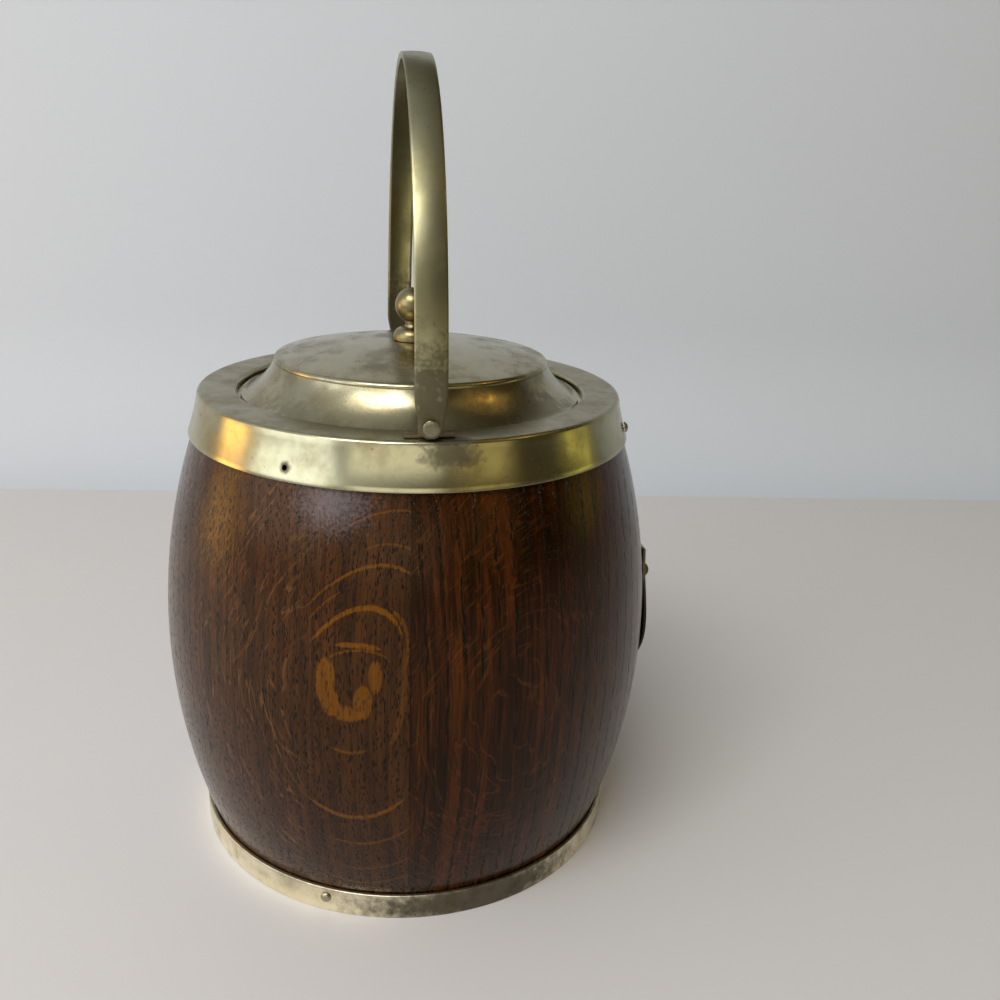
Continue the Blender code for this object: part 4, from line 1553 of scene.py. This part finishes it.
@dataclass
class Studio:
    """A plain pale floor that runs up into a wall, soft light from the upper left, and the camera."""

    eye: Triple = (-309.64, 23.83, 221.59)
    yaw: float = -9.926
    pitch: float = 19.626
    roll: float = 2.338
    lens: float = 35.19
    sensor: float = 36
    floor_colour: str = "cfcdcd"
    floor_level: float = -0.02  # just under what the barrel stands on
    floor_reach: float = 3000
    wall_colour: str = "cdd3db"
    wall_facing: float = -4.9
    wall_foot: float = 319.7
    wall_round: float = 100
    wall_height: float = 620
    aim: Triple = (0, 0, 90)  # that the lamps shine on
    dim_colour: str = "8c7f5c"
    bright_colour: str = "e2e6ea"
    dim_level: float = 0.22
    bright_level: float = 0.85
    bright_side: Triple = (-0.1, 0.75, 0.66)
    lamps: tuple[Lamp, ...] = (
        Lamp("skylight", 146, 52, 1100, (620, 360), 9.9, "fffdf8"),
        Lamp("window", 116, 20, 950, (760, 560), 2, "f6f9ff"),
        Lamp("doorway", 168, 9, 1050, (840, 300), 1.35, "fff8ea"),
        Lamp("passage", 211, 11, 1050, (520, 240), 0.8, "f0dfa0"),
        Lamp("golden_card", 80, 13, 900, (260, 240), 1.8, "ffba50"),
        Lamp("low_golden_card", 80, -1, 900, (300, 200), 3.8, "ffc86c"),
        Lamp("bulb", 246, 44, 900, (80, 80), 6.5, "ffc860"),
        Lamp("olive_card", 266, 4, 900, (300, 150), 1.25, "dccf68"),
        Lamp("brown_wall", 246, 48, 1000, (700, 420), 0.5, "c8a868"),
    )

    def camera(self) -> None:
        """Sets the camera where the photograph's stood."""
        data = bpy.data.cameras.new("camera")
        data.lens = self.lens
        data.sensor_width = self.sensor
        data.clip_start = 0.01
        data.clip_end = 20
        camera = bpy.data.objects.new("camera", data)
        place = Matrix.Translation(Vector(self.eye) * MM)
        for angle, axis in ((self.yaw - 90, "Z"), (90 - self.pitch, "X"), (self.roll, "Z")):
            place = place @ Matrix.Rotation(math.radians(angle), 4, axis)
        camera.matrix_world = place
        bpy.context.scene.collection.objects.link(camera)
        bpy.context.scene.camera = camera

    def backdrop(self, name: str, profile: Sequence[Point], half: float, material: Material) -> None:
        """A bent sheet of the stage, even from side to side.

        Args:
            name: of the sheet.
            profile: distances from the barrel's axis, towards the wall, and heights.
            half: of its length.
            material: its finish.
        """
        bm = outline_mesh(profile, closed=False)
        grown = bmesh.ops.extrude_edge_only(bm, edges=bm.edges[:])
        moved = [v for v in grown["geom"] if isinstance(v, bmesh.types.BMVert)]
        bmesh.ops.translate(bm, vec=(0, 2 * half, 0), verts=moved)
        bmesh.ops.translate(bm, vec=(0, -half, 0), verts=bm.verts)
        facing = Matrix.Rotation(math.radians(self.wall_facing), 3, "Z")
        bmesh.ops.rotate(bm, matrix=facing, verts=bm.verts)
        finished(name, bm, material)

    def stage(self) -> None:
        """The floor and the wall behind, of smooth board painted matt, which looks soft and even."""
        level, reach = self.floor_level, self.floor_reach
        foot, bend = self.wall_foot, self.wall_round
        sweep = [*arc((foot, bend + level), bend, -90, 0, 16), (foot + bend, self.wall_height)]
        for name, profile, half, colour, roughness in (
            ("floor", [(-reach, level), (foot, level)], reach, self.floor_colour, 0.55),
            ("wall", sweep, reach / 2, self.wall_colour, 0.9),
        ):
            feeds = {"Base Color": linear(colour), "Roughness": roughness}
            self.backdrop(name, profile, half, shaded(new_material(f"matt_painted_{name}"), feeds))

    def lamp(self, lamp: Lamp) -> None:
        """Hangs a lamp that shines on the barrel.

        Args:
            lamp: its place, size and light.
        """
        rise = math.radians(lamp.elevation)
        reach, height = lamp.distance * math.cos(rise), lamp.distance * math.sin(rise)
        place = Vector(self.aim) + round_the_barrel(lamp.azimuth, reach, height)
        data = bpy.data.lights.new(lamp.name, "AREA")
        data.shape = "RECTANGLE"
        data.size, data.size_y = (side * MM for side in lamp.size)
        data.energy = lamp.level * math.pi * data.size * data.size_y
        data.color = linear(lamp.colour)[:3]
        made = bpy.data.objects.new(lamp.name, data)
        made.matrix_world = aimed(place * MM, Vector(self.aim) - place, "-Z")
        bpy.context.scene.collection.objects.link(made)

    def room(self) -> None:
        """The room's own light, brighter on the window's side and dim on the other."""
        world = bpy.data.worlds.new("room")
        bpy.context.scene.world = world
        world.use_nodes = True
        tree = world.node_tree
        way = add_node(tree, "TexCoord", {}, out="Generated")
        side = tuple(Vector(self.bright_side).normalized())
        toward = add_node(tree, "VectorMath", {0: way, 1: side}, out="Value", operation="DOT_PRODUCT")
        feeds = {"Value": toward, "From Min": 0.15}
        share = add_node(tree, "MapRange", feeds, **SMOOTH)
        feeds = {"Value": share, "To Min": self.dim_level, "To Max": self.bright_level}
        level = add_node(tree, "MapRange", feeds)
        colour = laid_over(tree, self.dim_colour, [(share, self.bright_colour)])
        feed(tree.nodes["Background"], {"Color": colour, "Strength": level})

    def build(self) -> None:
        """Sets everything up."""
        self.camera()
        self.stage()
        self.room()
        for lamp in self.lamps:
            self.lamp(lamp)
        bpy.context.scene.view_settings.view_transform = "Standard"


EYE_RAYS = (
    Ray(0.3, 0.9, (-6.5, 1.4), (3.5, 9), 0.8),
    Ray(0.2, 0.9, (-5, -4.6), (3.1, 5.6), 0.8),
    Ray(0.2, 0.9, (4.1, -4.2), (3.2, 6.2), 0.75),
    Ray(0.3, 0.9, (7.4, 3.8), (2.3, 6), 0.75),
    Ray(1.543, 0.075, (0.5, 9.5), (12.5, 7), 0.6, (-0.026, 0.111)),
    Ray(0.4, 0.17, (-0.5, -7.2), (8.6, 5.2), 0.8, (0.0037, -0.0226)),
    Ray(4.2, 0.36, (2.5, 12.4), (7.6, 3.6), 0.9, (0, 0.3)),
    Ray(1.42, 0.12, (0.5, 18.5), (17, 12), 0.95),
    Ray(1.62, 0.1, (13, 15), (9, 10), 0.6),
    Ray(1.52, 0.2, (15, -4), (6, 22), 0.35),
    Ray(1.07, 0.06, (0, -19.5), (6.5, 3.5), 0.5),
    Ray(2.4, 0.08, (-7, 22), (6, 11), 0.5),
    Ray(3.1, 0.12, (3, 28), (19, 16), 0.7),
    Ray(4.15, 0.08, (11, 37), (10, 10), 0.4),
    Ray(6.2, 0.11, (7, 45), (15, 12), 0.5),
    Ray(4.65, 0.19, (2, -38), (17, 14), 0.8),
    Ray(7.2, 0.15, (5, -48), (15, 14), 0.5),
    Ray(10.5, 0.16, (5, -56), (15, 16), 0.4),
    Ray(12.9, 0.16, (3, -66), (17, 18), 0.35),
    Ray(-24.4, 0.32, (-30, 10.5), (10, 18), 0.35, (0.92, -0.39)),
    Ray(-22.2, 0.28, (-17.5, -25), (8, 18), 0.3, (0.917, 0.4)),
)

OAKS = (
    OakFinish("stained_oak_back_left", 40, 76, seed=3.1),
    OakFinish(
        "stained_oak_ray_figure", 163.6, 84,
        ground="351e0e", dark="20120a", light="452810", ray_colour="6e4208", fleck_colour="644424",
        pore_pitch=0.68, pore_length=2.8,
        fleck=0.6, fleck_depth=1.1, fleck_edge=-8, cloud=0.3, rays=EYE_RAYS,
        # Painted glints near the collar, and a painted sheen below it.
        glints=0.55, sheen_colour="868288", glint_start=116,
        painted_sheens=(Patch((-63.5, 25, 133), (12, 15, 12), 0.42, 1.6, edge=1, fade=1),),
    ),
    OakFinish(
        "stained_oak_open_pores", 197, 72,
        ground="260f04", dark="0e0501", light="462005", ray_colour="5c300a", fleck_colour="5a3210",
        pore_colour="030200", ring_width=5, ring_share=0.24,
        pore_length=10, pore_least=0.18, pore_most=0.58,
        fleck=0.36, fleck_depth=0.8, fleck_start=0.3, fleck_wave=1.5, cloud=0.7,
        # Painted glints near the collar, and painted shade on the upper right where the reflection is dim.
        glints=0.7, sheen_colour="a09484", glint_start=122,
        painted_shades=(Patch((-64, -40, 124), (24, 25, 36), 0.85, 1, edge=1, fade=1),),
        seed=7.7,
    ),
    OakFinish("stained_oak_back_right", 320, 70, seed=12.4),
)
BOARD_OAK = OakFinish(
    "bare_oak_board", 0, 70,
    ground="6e4d32", dark="4a3220", light="84603e", ray_colour="97704a", fleck_colour="97704a",
    pore_colour="2a1a10", gloss=0.5, glints=0, seed=20,
)

PIN_METAL = PlateFinish(
    "worn_round_headed_pins", plate="b0ab98", rubbed="a0977c", roughness=0.26,
    # The patch is painted shade over the shield's pins.
    stains_and_shade=(Patch((0, -82, 70), (24, 14, 40), 0.85, 1),),
)
RIVET_METAL = PlateFinish(
    "tarnished_rivet_heads", plate="8c8770", rubbed="7e765a", film=0.8, pitting=0.8, roughness=0.24
)
COLLAR_PLATE = PlateFinish(
    "worn_plate_collar",
    stains_and_shade=(
        Patch((-67.5, -5.5, 146.5), (9, 9.5, 4.4), 0.62, 1.5),
        Patch((-64.5, -4, 150.4), (6, 10, 2.6), 0.85, 1.3),
        Patch((64.5, 3, 150.4), (6, 9, 2.6), 0.8, 1.3),
        Patch((-57, 37.6, 140.5), (2, 2, 2), 0.8, 1.2),
        # painted shade over the collar's flat top, all round
        Patch((0, 0, 152.5), (200, 200, 3.3), 0.8, 0.25),
    ),
)
HOOP_PLATE = PlateFinish(
    "worn_plate_hoop", plate="fcf3d8", rubbed="eee2ba", film=0.45, pitting=0.5,
    stains_and_shade=(
        Patch((-66, -16, 4), (38, 46, 9), 0.88, 0.9),
        # painted shadow along the hoop's top edge, under the oak
        Patch((0, 0, 9.6), (200, 200, 2.4), 0.7, 0.5),
    ),
)
SHIELD_PLATE = PlateFinish(
    # The patch is painted shade over the shield's edge on the -X side.
    "worn_plate_shield", film=0.6, stains_and_shade=(Patch((-17, -81, 70), (9, 20, 80), 0.97, 0.4),)
)
STRAP_PLATE = PlateFinish(
    "worn_plate_strap", plate="9a987c", rubbed="8c8560", film_colour="544a36", film=0.36, roughness=0.3,
    stains_and_shade=tuple(Patch((x, 0, 158), (12, 12, 20), 0.62, 2.6) for x in (-66, 66)),
)
LUG_PLATE = PlateFinish(
    "worn_plate_lugs", plate="6c6048", rubbed="8a6448", film=0.8, pitting=0.8, roughness=0.42
)
LID_PLATE = PlateFinish(
    "worn_plate_lid", plate="a8a388", rubbed="968d6a", film=0.62, pitting=0.6,
    stains_and_shade=(
        Patch((-34, -36, 150), (16, 18, 6), 0.34, 2.6),
        Patch((-36, 30, 149), (12, 20, 4), 0.3, 2.6),
    ),
)
KNOB_PLATE = PlateFinish("worn_plate_knob", plate="8f8564", rubbed="82744c", film=0.5, roughness=0.28)
# Plain turned brass, which has no plate: yellow all over, and browner where it has been handled.
BOLT_BRASS = PlateFinish(
    "turned_brass_bolt", plate="b8a05a", rubbed="a88c48", tarnish_and_shade="4a3a1c", roughness=0.3
)


def main() -> None:
    """Builds the dressed barrel on the frame."""
    logging.basicConfig(level=logging.INFO, format="%(name)s %(message)s")
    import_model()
    Studio().build()
    form = BarrelForm()
    pins = PIN_METAL.material()
    collar = Collar(form, COLLAR_PLATE)
    Staves(form, OAKS, BOARD_OAK).build(collar.drill())
    Liner(ChinaFinish()).build()
    collar.build(pins)
    Hoop(form, HOOP_PLATE).build(pins)
    Shield(form, SHIELD_PLATE).build(pins)
    Handle(STRAP_PLATE, LUG_PLATE).build(RIVET_METAL.material())
    Lid(LID_PLATE, KNOB_PLATE, BOLT_BRASS).build()


if __name__ == "__main__":
    main()
